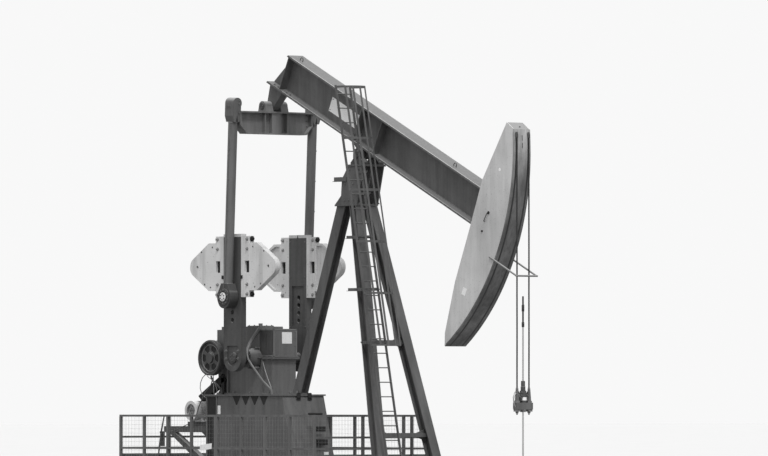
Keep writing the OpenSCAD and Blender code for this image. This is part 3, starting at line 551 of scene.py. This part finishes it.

# ---------------------------------------------------------------- cranks
# Pale band round the top of each crank, painted sky light on the tip's top end, end caps of the shaft, bolts
# round the shaft and on the inner face
SHAFT_END_Y = 0.8995
SHAFT_CAP_H = 0.008
for side, sname in SIDES:
    out = Vector((0, side, 0))
    # Pale band 6 cm deep round the crank's top: painted light from the sky on its end.
    with piece("crank_tip_sky_light_" + sname, "crank", "pale") as b:
        for x0, x1 in ((-0.2715, -0.014), (0.014, 0.2715)):
            b.box((CRANK.x + x0, side * CRANK_Y - 0.0665, 5.425),
                  (CRANK.x + x1, side * CRANK_Y + 0.0665, 5.4845))
    with piece("shaft_cap_" + sname, "crank", "cast") as b:
        b.disc((CRANK.x, side * SHAFT_END_Y, CRANK.z), out, 0.092, 0.086, SHAFT_CAP_H)
        b.bolt_ring((CRANK.x, side * (SHAFT_END_Y + SHAFT_CAP_H), CRANK.z), out, 0.062, 6, 0.010,
                    head=0.007, stud=0.002)
    with piece("crank_bolts_" + sname, "crank", "bolt") as b:
        b.bolts((CRANK.x - 0.1849, CRANK.x + 0.1849), (side * STRIP_OUT,),
                (CRANK.z + 0.13, CRANK.z - 0.02), out, 0.024, 0.02, 0.016)
        b.bolts((CRANK.x - 0.235, CRANK.x + 0.235), (side * STRIP_IN,),
                (CRANK.z + 0.62, CRANK.z + 1.60, CRANK.z + 2.30), -out, 0.012, 0.01, 0.004)

# ---------------------------------------------------------------- pitmans and equalizer
# Wrist bearings: pale bolted cap, housing bolts, grease nipple. Pitmans: weld collars, grease line
WRIST_FACE_Y = 1.1435
for side, sname in SIDES:
    out = Vector((0, side, 0))
    with piece("wrist_cap_" + sname, "pitmans", "white", smooth=True, place=AT_PITMAN) as b:
        b.disc((0, side * WRIST_FACE_Y, 0), out, 0.087, 0.081, CAP_H)
    with piece("wrist_bolts_" + sname, "pitmans", "bolt", place=AT_PITMAN) as b:
        b.bolt_ring((0, side * (WRIST_FACE_Y + CAP_H), 0), out, 0.058, 6, 0.010)
        b.bolt_ring((0, side * 1.134, 0), out, 0.136, 10, 0.013)
        b.tube([(0.02, side * 1.09, -0.222), (0.02, side * 1.09, -0.25)], 0.008, 8)
    with piece("pitman_welds_" + sname, "pitmans", "pitman", smooth=True, place=AT_PITMAN) as b:
        for z in (0.266, 3.43):
            b.tube([(0.094 * math.cos(t), side * PITMAN_Y + 0.094 * math.sin(t), z) for t in steps_round(32)],
                   0.007, 6, closed=True)
    with piece("grease_line_" + sname, "pitmans", "pitman", smooth=True, place=AT_PITMAN) as b:
        line = [(0.0, side * 1.135, 0.15), (0.0, side * 1.135, 0.24), (0.01, side * 1.121, 0.34)]
        line += [(0.012, side * 1.116, 0.4 + 0.3 * k) for k in range(10)]
        b.tube(line, 0.006, 8)
        y = side * 1.112
        for k in range(5):
            z = 0.5 + 0.6 * k
            b.box((-0.01, y - 0.006, z), (0.034, y + 0.006, z + 0.025))

# Equalizer: bolts of the bearing posts, edge bolts by the brackets, horns at its ends
with piece("equalizer_bolts", "pitmans", "bolt") as b:
    for side, _ in SIDES:
        b.bolts((TAIL_X - 0.10, TAIL_X + 0.10), (side * 0.14, side * 0.24), (7.901,), UP, 0.018, 0.016, 0.02)
        for face in (-1, 1):
            b.bolts((TAIL_X + face * 0.125,), (side * 0.975,), (8.03, 8.10, 7.86), (face, 0, 0), 0.014)
        b.bolts((TAIL_X + 0.020,), (side * 0.84,), (7.63, 7.74, 7.85), FRONT, 0.012)
with piece("equalizer_horns", "pitmans", "equalizer") as b:
    for side, _ in SIDES:
        b.prism([(side * 1.10, 8.00), (side * 1.155, 8.00), (side * 1.11, 7.94)], "x",
                TAIL_X - 0.06, TAIL_X + 0.06)

# ---------------------------------------------------------------- tail and centre bearings
# End caps with their bolts, bolts of the centre bearing's feet, its grease nipples
for name, x, y, z, r0, r1, ring_r, bolt_r in (
        ("tail_caps", TAIL_X, 0.2955, TAIL_Z, 0.072, 0.064, 0.046, 0.008),
        ("centre_caps", PIVOT.x, 0.2795, PIVOT.z, 0.080, 0.070, 0.05, 0.009)):
    with piece(name, "beam", "cast") as b:
        for side, _ in SIDES:
            b.disc((x, side * y, z), (0, side, 0), r0, r1, CAP_H)
            b.bolt_ring((x, side * (y + CAP_H), z), (0, side, 0), ring_r, 4, bolt_r)
with piece("centre_bearing_bolts", "root", "bolt") as b:
    for side, _ in SIDES:
        b.bolts((-0.16, 0.16), (side * 0.155, side * 0.235), (6.838,), UP, 0.018, 0.018, 0.02)
        b.tube([(0.0, side * 0.195, 7.108), (0.0, side * 0.195, 7.122)], 0.012, 8)

# ---------------------------------------------------------------- walking beam
# Bolts of the saddle, the tail bracket and the head, lifting eyes, pale strips on the flange edges as painted
# highlights, welds, bare sign
SADDLE_U = (-0.33, -0.24, -0.15, 0.15, 0.24, 0.33)
with piece("beam_bolts", "beam", "bolt", place=AT_BEAM) as b:
    for side, _ in SIDES:
        b.bolts(SADDLE_U, (side * 0.155,), (SADDLE_N,), UP, 0.017, 0.016, 0.012)
        b.bolts(SADDLE_U, (side * 0.155,), (0.1195,), DOWN, 0.017, 0.016, 0.008)
        b.bolts((-3.02, -2.90, -2.62, -2.50), (side * 0.14,), (SADDLE_N,), UP, 0.016, 0.014, 0.01)
        b.bolts((3.64, 3.74, 3.84, 3.94), (side * 0.165,), (BEAM_TOP_N, SADDLE_N), UP, 0.016, 0.014, 0.01)
with piece("beam_eyes", "beam", "dark", smooth=True, place=AT_BEAM) as b:
    for u in (-2.56, 2.54):
        b.tube([(u - 0.04, -0.05, 0.86), (u - 0.04, -0.05, 0.905), (u - 0.026, -0.05, 0.93), (u, -0.05, 0.94),
                (u + 0.026, -0.05, 0.93), (u + 0.04, -0.05, 0.905), (u + 0.04, -0.05, 0.86)], 0.009, 10)
# Pale strips along the flanges' outer edges: painted highlights where the edges catch the light.
with piece("beam_edge_highlights", "beam", "light_pipe", place=AT_BEAM) as b:
    for (y0, y1), (n0, n1) in product(((-0.190, -0.172), (0.172, 0.190)), ((0.868, 0.8715), (0.1555, 0.158))):
        b.box((-2.70, y0, n0), (3.93, y1, n1))
with piece("beam_welds", "beam", "beam", smooth=True, place=AT_BEAM) as b:
    for y, n in product((-0.013, 0.013), (0.1600, 0.8300)):
        b.tube([(-2.8, y, n), (3.95, y, n)], 0.008, 6)
with piece("sign_plate", "beam", "white", place=AT_BEAM) as b:
    b.box((-1.42, -0.0170, 0.31), (-0.42, -0.0108, 0.60))
with piece("sign_bolts", "beam", "bolt", place=AT_BEAM) as b:
    b.bolts((-1.385, -0.455), (-0.017,), (0.345, 0.565), NEAR, 0.008, 0.006, 0.002)


# ---------------------------------------------------------------- horsehead
def head_half(n):
    """Half of the head's width at a height n over the beam's axis."""
    return HEAD_HALF_TOP + (HEAD_TOP_N - n) * HEAD_SLOPE


def near_plate(u, n, lift=0.0):
    """A point on the near side plate, or lifted off it."""
    return (u, -head_half(n) - lift, n)


def on_face(n, y=0.0):
    """A point on the head's curved face, in its middle."""
    return (math.sqrt(HEAD_FACE_R ** 2 - n * n), y, n)


# Seams of the side plates, top cap, dark tracks along the ropes (grease, with painted shadow along the ropes'
# edges), lifting eye with its links down the face
SEAM_R, SEAM_HALF, SEAM_STEPS = 4.563, 29.2, 60
for side, sname in SIDES:
    with piece("head_seam_" + sname, "beam", "face", smooth=True, place=AT_BEAM) as b:
        seam = []
        for k in range(SEAM_STEPS + 1):
            t = math.radians(-SEAM_HALF + 2 * SEAM_HALF * k / SEAM_STEPS)
            n = SEAM_R * math.sin(t)
            seam.append((SEAM_R * math.cos(t), side * head_half(n), n))
        b.tube(seam, 0.007, 6)
with piece("head_top_cap", "beam", "pitman", place=AT_BEAM) as b:
    b.prism([(3.7395, 2.3165), (3.974, 2.2775), (3.9725, 2.2675), (3.738, 2.3065)], "y", -0.2, 0.2)
TRACK_R, TRACK_HALF_WIDTH, TRACK_STEPS = 4.5839, 0.02, 96
# Dark strips a little wider than the ropes: grease, with painted shadow of the ropes along their edges.
with piece("face_grease_and_rope_shadow", "beam", "greased", place=AT_BEAM) as b:
    for side, _ in SIDES:
        for k in range(TRACK_STEPS):
            ends = [math.radians(-29.5 + 57.9 * j / TRACK_STEPS) for j in (k, k + 1)]
            b.add([(TRACK_R * math.cos(t), side * ROPE_Y + dy, TRACK_R * math.sin(t))
                   for t in ends for dy in (-TRACK_HALF_WIDTH, TRACK_HALF_WIDTH)], [(0, 1, 3, 2)])
with piece("head_eye", "beam", "black", smooth=True, place=AT_BEAM) as b:
    b.tube([(3.90, -0.012, 2.285), (3.90, -0.012, 2.30), (3.90, 0.012, 2.30), (3.90, 0.012, 2.285)], 0.007, 8)
    for n in (2.18, 2.05):
        b.tube([on_face(n), on_face(n - 0.09)], 0.006, 8)

# Bare label, pale spot, and the latch's handle on the near side plate
LABEL_N = -1.10
with piece("head_label", "beam", "white", place=AT_BEAM) as b:
    y = -head_half(LABEL_N) - 0.001
    b.box((3.97, y - 0.002, LABEL_N - 0.07), (4.08, y + 0.004, LABEL_N + 0.07))
with piece("head_spot", "beam", "white", smooth=True, place=AT_BEAM) as b:
    b.disc(near_plate(3.947, 1.421), NEAR, 0.03, 0.029, 0.003, 24)
with piece("head_handle", "beam", "black", smooth=True, place=AT_BEAM) as b:
    b.tube([near_plate(*at) for at in ((4.012, 0.55, -0.002), (4.012, 0.55, 0.03), (4.002, 0.50, 0.035),
                                       (3.992, 0.40, 0.035), (3.985, 0.36, 0.03), (3.985, 0.36, -0.002))],
           0.008, 8)
    b.disc(near_plate(4.012, 0.55), NEAR, 0.03, 0.024, 0.012, 16)
    b.disc(near_plate(3.995, 0.159), NEAR, 0.02, 0.016, 0.02, 16)

# ---------------------------------------------------------------- reducer
# Bolts of the split flange (none under the shafts' housings), of the hubs, the feet and the covers
with piece("reducer_bolts", "root", "bolt") as b:
    for side, _ in SIDES:
        for k in range(12):
            x = -4.24 + k * 0.1565
            if abs(x - SHAFT_X) > 0.2 and abs(x - DRUM_X) > 0.13:
                b.bolt((x, side * 0.322, 3.075), UP, 0.014, 0.012, 0.01)
                b.bolt((x, side * 0.322, 3.025), DOWN, 0.014, 0.01, 0.004)
        b.bolt_ring((SHAFT_X, side * 0.58, SHAFT_Z), (0, side, 0), 0.152, 8, 0.013, 0.39)
        b.bolt_ring((DRUM_X, side * 0.36, SHAFT_Z), (0, side, 0), 0.1, 6, 0.010, 0.3)
        b.bolts((-4.15, -3.7, -3.2, -2.62), (side * 0.335,), (2.36,), UP, 0.018, 0.018, 0.018)
    b.bolts((-2.488,), (-0.2, 0.0, 0.2), (3.075,), UP, 0.014, 0.012, 0.01)
    b.bolts((-3.43, -3.27, -3.11), (-0.155, 0.155), (3.688,), UP, 0.011, 0.009, 0.004)
    b.bolts((NOSE_X,), (-0.26, 0.26), (3.12, 3.28, 3.44, 3.56), FRONT, 0.009, 0.007, 0.002)

# Bare plate, lip and frame of the reducer's nose, the frame drawn paler as painted edge highlights, and dark
# sheets on its near side as painted shade
with piece("reducer_plate", "root", "white") as b:
    b.box((-2.509, -0.08, 3.33), (-2.5045, 0.17, 3.555))
with piece("reducer_lip", "root", "reducer") as b:
    b.box((-2.509, -0.292, 3.055), (-2.46, 0.292, 3.085))
# Frame strips round the nose's edges, paler than the body: painted highlights on the edges.
with piece("nose_frame_highlights", "root", "rail") as b:
    for y in (-0.302, 0.272):
        b.box((-2.512, y, 3.085), (-2.5015, y + 0.03, 3.605))
    b.box((-2.512, -0.302, 3.592), (-2.5015, 0.302, 3.612))
    for z in (3.085, 3.59):
        b.box((-2.93, -0.3065, z), (-2.506, -0.2985, z + 0.022))
# Dark sheets on the nose's near side: painted shade on that side.
with piece("nose_painted_shade", "root", "crank") as b:
    for x0, x1 in ((-2.905, -2.735), (-2.725, -2.53)):
        b.box((x0, -0.3025, 3.115), (x1, -0.2985, 3.582))

# Conduits from the reducer's cover down to the pedestal's deck
with piece("conduit_big", "root", "pitman", smooth=True) as b:
    b.tube([(-2.93, -0.298, 3.63), (-2.94, -0.32, 3.60), (-2.975, -0.40, 3.48), (-2.985, -0.50, 3.34),
            (-2.955, -0.60, 3.20), (-2.90, -0.645, 3.11), (-2.855, -0.66, 3.025), (-2.77, -0.65, 2.92),
            (-2.686, -0.62, 2.81), (-2.567, -0.54, 2.61), (-2.46, -0.47, 2.48), (-2.40, -0.44, 2.41),
            (-2.385, -0.43, DECK_Z)],
           [0.036] * 4 + [0.034, 0.026] + [0.022] * 7, 14)
with piece("conduit_thin", "root", "light_pipe", smooth=True) as b:
    b.tube([(-2.83, -0.302, 3.01), (-2.81, -0.315, 2.967), (-2.717, -0.34, 2.81), (-2.588, -0.37, 2.632),
            (-2.458, -0.40, 2.475), (-2.43, -0.405, DECK_Z)], 0.0065, 10)
    b.tube([(-4.25, -0.31, 3.40), (-4.30, -0.33, 3.36), (-4.33, -0.36, 3.2), (-4.30, -0.38, 2.9),
            (-4.27, -0.38, 2.5), (-4.26, -0.38, DECK_Z)], 0.008, 10)

# ---------------------------------------------------------------- brake
# Band with its anchor, hoses, a black disc inside the drum as painted shade, rims, hub bolts, pull line with
# its lever, and the cable trough beside them
BAND_R, BAND_STEPS = 0.352, 48
with piece("brake_band", "root", "cast", smooth=True) as b:
    angles = [math.radians(20 + 320 * k / BAND_STEPS - 90) for k in range(BAND_STEPS + 1)]
    for dy in (-0.035, 0.0, 0.035):
        b.tube([(DRUM_X + BAND_R * math.cos(t), DRUM_Y + dy, SHAFT_Z + BAND_R * math.sin(t)) for t in angles],
               0.007, 6)
    b.tube([(DRUM_X, DRUM_Y, 2.70), (DRUM_X, DRUM_Y, 2.655), (-4.15, DRUM_Y, 2.60), (-4.05, -0.47, 2.52),
            (-3.98, -0.40, 2.40), (-3.98, -0.40, 2.33)], 0.018, 10)
with piece("brake_hoses", "root", "rail", smooth=True) as b:
    b.tube([(-4.26, -0.53, 2.735), (-4.36, -0.53, 2.715), (-4.44, -0.53, 2.66), (-4.50, -0.53, 2.56),
            (-4.51, -0.53, 2.45), (-4.46, -0.53, 2.34), (-4.36, -0.52, 2.27), (-4.24, -0.50, 2.30),
            (-4.20, -0.48, DECK_Z)], 0.008, 8)
    b.tube([(-4.28, -0.54, 2.70), (-4.20, -0.545, 2.655), (-4.12, -0.54, 2.62), (-4.04, -0.53, 2.54),
            (-4.00, -0.52, 2.44), (-3.99, -0.51, DECK_Z)], 0.007, 8)
# A black disc inside the drum: painted shade in its hollow face.
with piece("brake_drum_shade", "root", "black", smooth=True) as b:
    b.disc((DRUM_X, -0.460, SHAFT_Z), NEAR, 0.318, 0.316, 0.050)
with piece("brake_rings", "root", "rail", smooth=True) as b:
    for r in (0.118, 0.262):
        b.tube(circle(DRUM_X, -0.518, SHAFT_Z, r, 48), 0.008, 6, closed=True)
with piece("brake_hub_bolts", "root", "bolt") as b:
    b.bolt_ring((DRUM_X, -0.52, SHAFT_Z), NEAR, 0.075, 6, 0.013)
with piece("brake_lever", "root", "dark", smooth=True) as b:
    b.tube([(-4.14, -0.50, 2.67), (-4.22, -0.50, 2.50), (-4.36, -0.52, 2.38), (-4.50, -0.56, 2.12),
            (-4.62, -0.585, 1.80), (-5.30, -0.585, 1.60), (-5.72, -0.585, 1.58)], 0.010, 8)
    b.tube([(-5.74, -0.60, 1.15), (-5.66, -0.60, 1.58), (-5.56, -0.60, 1.92)], [0.016, 0.018, 0.012], 10)
    b.box((-5.715, -0.585, 1.30), (-5.69, -0.48, 1.60))
with piece("cable_trough", "root", "black") as b:
    b.prism([(-4.02, 2.74), (-3.95, 2.60), (-4.66, 2.19), (-4.78, 2.30)], "y", -0.36, -0.24)
    b.box((-4.06, -0.36, 2.33), (-3.97, -0.24, 2.66))

# ---------------------------------------------------------------- motor
# Cooling ribs, cowl grille, bolts of the feet and the terminal box, cable from the box
RIBS = 30
COWL_Y = -0.389
with piece("motor_ribs", "root", "motor") as b:
    for k in range(RIBS):
        t = math.radians(-35 + k * 250 / (RIBS - 1))
        b.place = Matrix.Translation((MOTOR_X, 0, MOTOR_Z)) @ Matrix.Rotation(-t, 4, "Y")
        b.box((0.178, -0.25, -0.003), (0.1945, 0.25, 0.003))
with piece("cowl_grille", "root", "black", smooth=True) as b:
    for r in (0.028, 0.052, 0.076, 0.1, 0.124):
        b.tube(circle(MOTOR_X, COWL_Y, MOTOR_Z, r, 40), 0.003, 6, closed=True)
    for end in circle(MOTOR_X, COWL_Y, MOTOR_Z, 0.132, 6):
        b.tube([(MOTOR_X, COWL_Y, MOTOR_Z), end], 0.003, 6)
with piece("motor_bolts", "root", "bolt") as b:
    b.bolts((-5.13, -4.83), (-0.165, 0.165), (1.8145,), UP, 0.016, 0.016, 0.02)
    b.bolts((-5.045, -4.915), (0.085, 0.235), (2.2745,), UP, 0.007, 0.005, 0.001)
with piece("motor_cable", "root", "hose", smooth=True) as b:
    b.tube([(-4.89, 0.16, 2.22), (-4.84, 0.16, 2.20), (-4.74, 0.15, 2.10), (-4.66, 0.14, 1.95),
            (-4.60, 0.14, 1.80), (-4.56, 0.14, 1.70)], 0.014, 10)

# ---------------------------------------------------------------- pedestal
# Black sheets as painted shade in the triangular openings and the corner recess, trim, bare labels and the
# fence's bare sign, bolts of the rear leg's foot, clamps, a valve stand and a marker post
PED_Y0, PED_Y1 = -0.5325, -0.526
PED_LABEL_X = -1.9275 + 0.266 * 1.12
# Thin black sheets on the pedestal's near face: painted shade in the triangular openings under the deck and
# in the corner recess.
with piece("pedestal_painted_shade", "root", "black") as b:
    for k in range(4):
        x = -3.369 + k * 0.282
        b.prism([(x - 0.125, 2.30), (x + 0.125, 2.30), (x + 0.015, 2.125), (x - 0.015, 2.125)], "y",
                PED_Y0, PED_Y1)
    b.prism([(-4.27, 2.28), (-4.02, 2.28), (-4.02, 0.9), (-4.27, 0.9)], "y", PED_Y0, PED_Y1)
with piece("pedestal_trim", "root", "pedestal") as b:
    for x in (-4.31, -3.99):
        b.box((x, -0.545, 0.42), (x + 0.03, -0.528, 2.299))
    b.box((-3.96, -0.537, 0.42), (-2.0, -0.528, 0.47))
with piece("pedestal_labels", "root", "white") as b:
    b.box((-3.98, PED_Y0, 1.94), (-3.87, PED_Y1, 2.11))
    b.box((PED_LABEL_X, 0.26, 1.06), (PED_LABEL_X + 0.02, 0.37, 1.20))
with piece("fence_sign", "root", "white") as b:
    b.prism([(-3.355, 1.225), (-2.99, 1.262), (-2.982, 1.372), (-3.347, 1.335)], "y", -1.4748, -1.4705)
with piece("rear_foot_bolts", "root", "bolt") as b:
    b.bolts((-2.19, -1.985), (-0.125, 0.125), (2.3595,), UP, 0.02, 0.02, 0.025)
with piece("flange_clamps", "root", "black") as b:
    for y in (-0.137, 0.145):
        b.bolts((-1.918,), (y - 0.022, y + 0.022), (2.262,), FRONT, 0.015, 0.012, 0.008)
        b.prism([(y - 0.048, 2.215), (y + 0.048, 2.215), (y + 0.048, 2.345), (y + 0.03, 2.36),
                 (y - 0.03, 2.36), (y - 0.048, 2.345)], "x", -1.9295, -1.918)
VALVE_X = -1.61
with piece("valve_stand", "root", "dark", smooth=True) as b:
    b.tube([(VALVE_X, 0.0, 0.399), (VALVE_X, 0.0, 1.94)], 0.018, 12)
with piece("valve_boxes", "root", "black") as b:
    b.tube([(VALVE_X, -0.145, 1.945), (VALVE_X, -0.13, 1.95), (VALVE_X, 0.19, 1.95), (VALVE_X, 0.205, 1.945)],
           [0.016, 0.024, 0.024, 0.016], 12)
    for z0, z1, y1 in ((1.60, 1.70, 0.272), (1.336, 1.445, 0.32)):
        b.box((-1.66, 0.045, z0), (-1.58, y1, z1))
        b.box((-1.652, 0.06, z0 + 0.012), (-1.572, y1 - 0.015, z1 - 0.012))
        b.tube([(VALVE_X, 0.0, (z0 + z1) / 2), (VALVE_X, 0.05, (z0 + z1) / 2)], 0.018, 10)
with piece("marker_post", "root", "rail", smooth=True) as b:
    b.tube([(-2.31, -0.70, 0.399), (-2.31, -0.70, 1.86), (-2.31, -0.70, 1.875)], [0.014, 0.014, 0.009], 12)


# ---------------------------------------------------------------- post and ladder
def leg_at(z, side):
    """Middle of a front leg at a height."""
    return Vector((1.475 - 0.266 * z, side * (0.812 - 0.108 * z), z))


def ladder_x(z):
    return 1.756 - 0.214 * z


# Foot bolts, bolts of the post's head, girt gussets
with piece("post_bolts", "root", "bolt") as b:
    for side, _ in SIDES:
        foot = leg_at(0.43, side)
        b.bolts((foot.x - 0.16, foot.x + 0.16), (foot.y - 0.115, foot.y + 0.115), (0.4295,), UP,
                0.02, 0.02, 0.028)
    b.bolts((-0.44, -0.26, -0.08, 0.06), (-0.24, 0.24), (6.0305,), UP, 0.018, 0.016, 0.012)
    for side, _ in SIDES:
        for x, z in ((-0.36, 6.10), (-0.24, 6.10), (-0.10, 6.10), (-0.34, 6.42), (-0.1, 6.42),
                     (-0.2, 6.70), (0.06, 6.70)):
            b.bolt((x, side * 0.275, z), (0, side, 0), 0.014, 0.012, 0.008)
GUSSET_RUN = 0.24
with piece("girt_gussets", "root", "leg") as b:
    for z, (side, _) in product((1.54, 3.34), SIDES):
        p = leg_at(z, side)
        inner = abs(p.y) - 0.02
        tip = side * (inner - GUSSET_RUN)
        b.prism([(side * inner, z - 0.12), (side * inner, z + 0.12), (tip, z + 0.045), (tip, z - 0.045)],
                "x", p.x - 0.046, p.x - 0.0385)

# Brackets that hold the ladder and its cage to the near leg and the post's head
with piece("ladder_brackets", "root", "ladder") as b:
    for z, x0, y in zip(BRACKET_Z, (-0.02, -0.20, 0.56), (-0.462, -0.352, -0.575)):
        x1 = ladder_x(z) + 0.02
        b.box((x0, y - 0.008, z), (x1, y + 0.008, z + 0.06))
        b.box((x0, y - 0.05, z), (x1, y, z + 0.008))
    b.box((-0.66, -0.292, 6.47), (-0.30, -0.2745, 6.56))
    b.box((-0.66, -0.33, 6.47), (-0.36, -0.29, 6.48))
    for z in (6.20, 6.62):
        x = ladder_x(z)
        b.box((0.02, -0.306, z), (x + 0.02, -0.29, z + 0.05))
        b.box((x - 0.02, -0.44, z), (x + 0.02, -0.29, z + 0.02))
    for z in BRACKET_Z:
        x = ladder_x(z)
        b.box((x - 0.02, -0.78, z + 0.02), (x + 0.02, -0.35, z + 0.04))
with piece("bracket_bolts", "root", "bolt") as b:
    for z, y in zip(BRACKET_Z, (-0.470, -0.360, -0.583)):
        x = leg_at(z + 0.03, -1).x
        b.bolts((x - 0.07, x + 0.07), (y,), (z + 0.035,), NEAR, 0.012)

# ---------------------------------------------------------------- carrier bar and rod
# Clamp bolts, pale ring and upper clamp on the rod, the load cell's cable, pull rod, rope sockets
with piece("clamp_bolts", "rod", "bolt") as b:
    for y, z in product((-0.07, 0.07), (2.30, 2.36)):
        b.bolt((HEAD + 0.0445, y, z), FRONT, 0.014, 0.014, 0.02)
        b.bolt((HEAD - 0.0445, y, z), BACK, 0.014, 0.012, 0.004)
with piece("clamp_ring", "rod", "white", smooth=True) as b:
    b.tube([(HEAD, 0, 2.205), (HEAD, 0, 2.21), (HEAD, 0, 2.262), (HEAD, 0, 2.267)],
           [0.064, 0.069, 0.069, 0.064], 28)
with piece("upper_clamp", "rod", "dark", smooth=True) as b:
    b.tube([(HEAD, 0, 2.385), (HEAD, 0, 2.40), (HEAD, 0, 2.47), (HEAD, 0, 2.475), (HEAD, 0, 2.565),
            (HEAD, 0, 2.58)], [0.043, 0.046, 0.046, 0.040, 0.040, 0.034], 20)
with piece("cell_cable", "rod", "light_pipe", smooth=True) as b:
    loop = ((-0.07, 2.27), (-0.13, 2.36), (-0.205, 2.37), (-0.25, 2.27), (-0.235, 2.15), (-0.17, 2.07),
            (-0.10, 2.06))
    for dx, dz in ((0.0, 0.0), (0.02, -0.03)):
        b.tube([(HEAD + dx, y, z + dz) for y, z in loop], 0.007, 8)
with piece("pull_rod", "rod", "greased", smooth=True) as b:
    b.tube([(HEAD, 0, 3.60), (HEAD, 0, 4.189)], 0.0168, 14)
    for z, h in ((3.60, 0.10), (3.90, 0.13)):
        b.tube([(HEAD, 0, z), (HEAD, 0, z + 0.01), (HEAD, 0, z + h - 0.01), (HEAD, 0, z + h)],
               [0.02, 0.026, 0.026, 0.02], 14)
with piece("rope_sockets", "rod", "rail", smooth=True) as b:
    for side, _ in SIDES:
        y = side * ROPE_Y
        b.tube([(HEAD, y, 2.16), (HEAD, y, 2.20)], 0.056, 20)
        b.tube([(HEAD, y, 2.425), (HEAD, y, 2.45)], 0.024, 16)
        b.box((HEAD - 0.05, y - 0.045, 1.995), (HEAD + 0.05, y + 0.045, 2.036))
        b.bolt((HEAD, y, 1.996), DOWN, 0.026, 0.03, 0.03)
    b.tube([(HEAD, 0, 2.034), (HEAD, 0, 1.985)], [0.06, 0.05], 20)

# Rope anchors on the head's top
with piece("rope_anchors", "beam", "cast", smooth=True, place=AT_BEAM) as b:
    t = math.radians(28.4)
    along = Vector((-math.sin(t), 0, math.cos(t)))
    for side, _ in SIDES:
        c = Vector((HEAD * math.cos(t), side * ROPE_Y, HEAD * math.sin(t)))
        b.tube([c - along * 0.05, c + along * 0.02, c + along * 0.06], [0.026, 0.03, 0.018], 14)


# ---------------------------------------------------------------- camera, light, floor
def add_object(name, data):
    obj = bpy.data.objects.new(name, data)
    collection.objects.link(obj)
    return obj


def look_along(obj, direction):
    obj.rotation_mode = "QUATERNION"
    obj.rotation_quaternion = direction.to_track_quat("-Z", "Y")


# The camera fitted to the photograph: its turn about the part, its upward look, its distance from the
# centre bearing's axis, its shift aside and down from the bearing, and its focal length in pixels
TURN = math.radians(49.758)
PITCH = math.radians(1.24)
DISTANCE = 159.6
ASIDE, LOWER = 0.327, -4.89
FOCAL_PX, PHOTO_PX, SENSOR_MM = 8203, 768, 36.0

cam_data = bpy.data.cameras.new("camera")
cam_data.sensor_width = SENSOR_MM
cam_data.lens = FOCAL_PX / PHOTO_PX * SENSOR_MM
cam_data.clip_end = 2000
cam = add_object("camera", cam_data)
cam.location = (DISTANCE * math.sin(TURN) + ASIDE * math.cos(TURN),
                -DISTANCE * math.cos(TURN) + ASIDE * math.sin(TURN), LOWER + PIVOT.z)
look_along(cam, Vector((-math.sin(TURN) * math.cos(PITCH), math.cos(TURN) * math.cos(PITCH),
                        math.sin(PITCH))))
scene.camera = cam

# The sky lights from above more than from below. The camera sees one pale tone instead.
world = bpy.data.worlds.new("world")
scene.world = world
world.use_nodes = True
tree = world.node_tree
tree.nodes.clear()


def world_node(kind, inputs=(), **links):
    """A node of the world, with numbers for its inputs and sockets linked to them."""
    n = tree.nodes.new(kind)
    for k, v in dict(inputs).items():
        n.inputs[k].default_value = v
    for k, socket in links.items():
        tree.links.new(socket, n.inputs[k])
    return n


coord = world_node("ShaderNodeTexCoord")
height = world_node("ShaderNodeSeparateXYZ", Vector=coord.outputs["Generated"])
share = world_node("ShaderNodeMapRange", {"From Min": -1, "From Max": 1}, Value=height.outputs["Z"])
sky = world_node("ShaderNodeValToRGB", Fac=share.outputs["Result"])
for stop, (position, v) in zip(sky.color_ramp.elements, ((0.45, 0.55), (0.95, 1.1))):
    stop.position = position
    stop.color = grey(v) + (1,)
light_bg = world_node("ShaderNodeBackground", {"Strength": 1.0}, Color=sky.outputs["Color"])
shown_bg = world_node("ShaderNodeBackground", {"Strength": 1.0, "Color": grey(0.94) + (1,)})
ray = world_node("ShaderNodeLightPath")
mixer = world_node("ShaderNodeMixShader", Fac=ray.outputs["Is Camera Ray"])
tree.links.new(light_bg.outputs[0], mixer.inputs[1])
tree.links.new(shown_bg.outputs[0], mixer.inputs[2])
world_node("ShaderNodeOutputWorld", Surface=mixer.outputs[0])

sun_data = bpy.data.lights.new("sun", "SUN")
sun_data.energy = 1.5
sun_data.angle = math.radians(12)
look_along(add_object("sun", sun_data), Vector((-0.62, 0.38, -1.0)))

# The floor gives back less light than the camera sees on it, so it hardly lights the part from below
FLOOR_HALF, FLOOR_Z = 600, -0.002
floor_me = bpy.data.meshes.new("floor")
corners = ((-1, -1), (1, -1), (1, 1), (-1, 1))
floor_me.from_pydata([(x * FLOOR_HALF, y * FLOOR_HALF, FLOOR_Z) for x, y in corners], [], [(0, 1, 2, 3)])
floor = add_object("floor", floor_me)
fm = Mat("floor_pale")
camera_ray = fm.node("ShaderNodeLightPath").outputs["Is Camera Ray"]
tone = fm.ramp(fm.noise(0.4, 4), [(0.3, 0.675), (0.7, 0.705)])
floor_me.materials.append(fm.finish(fm.mix(grey(0.26), tone, camera_ray), 0.9, 0.0, 0.1))

scene.view_settings.view_transform = "Standard"
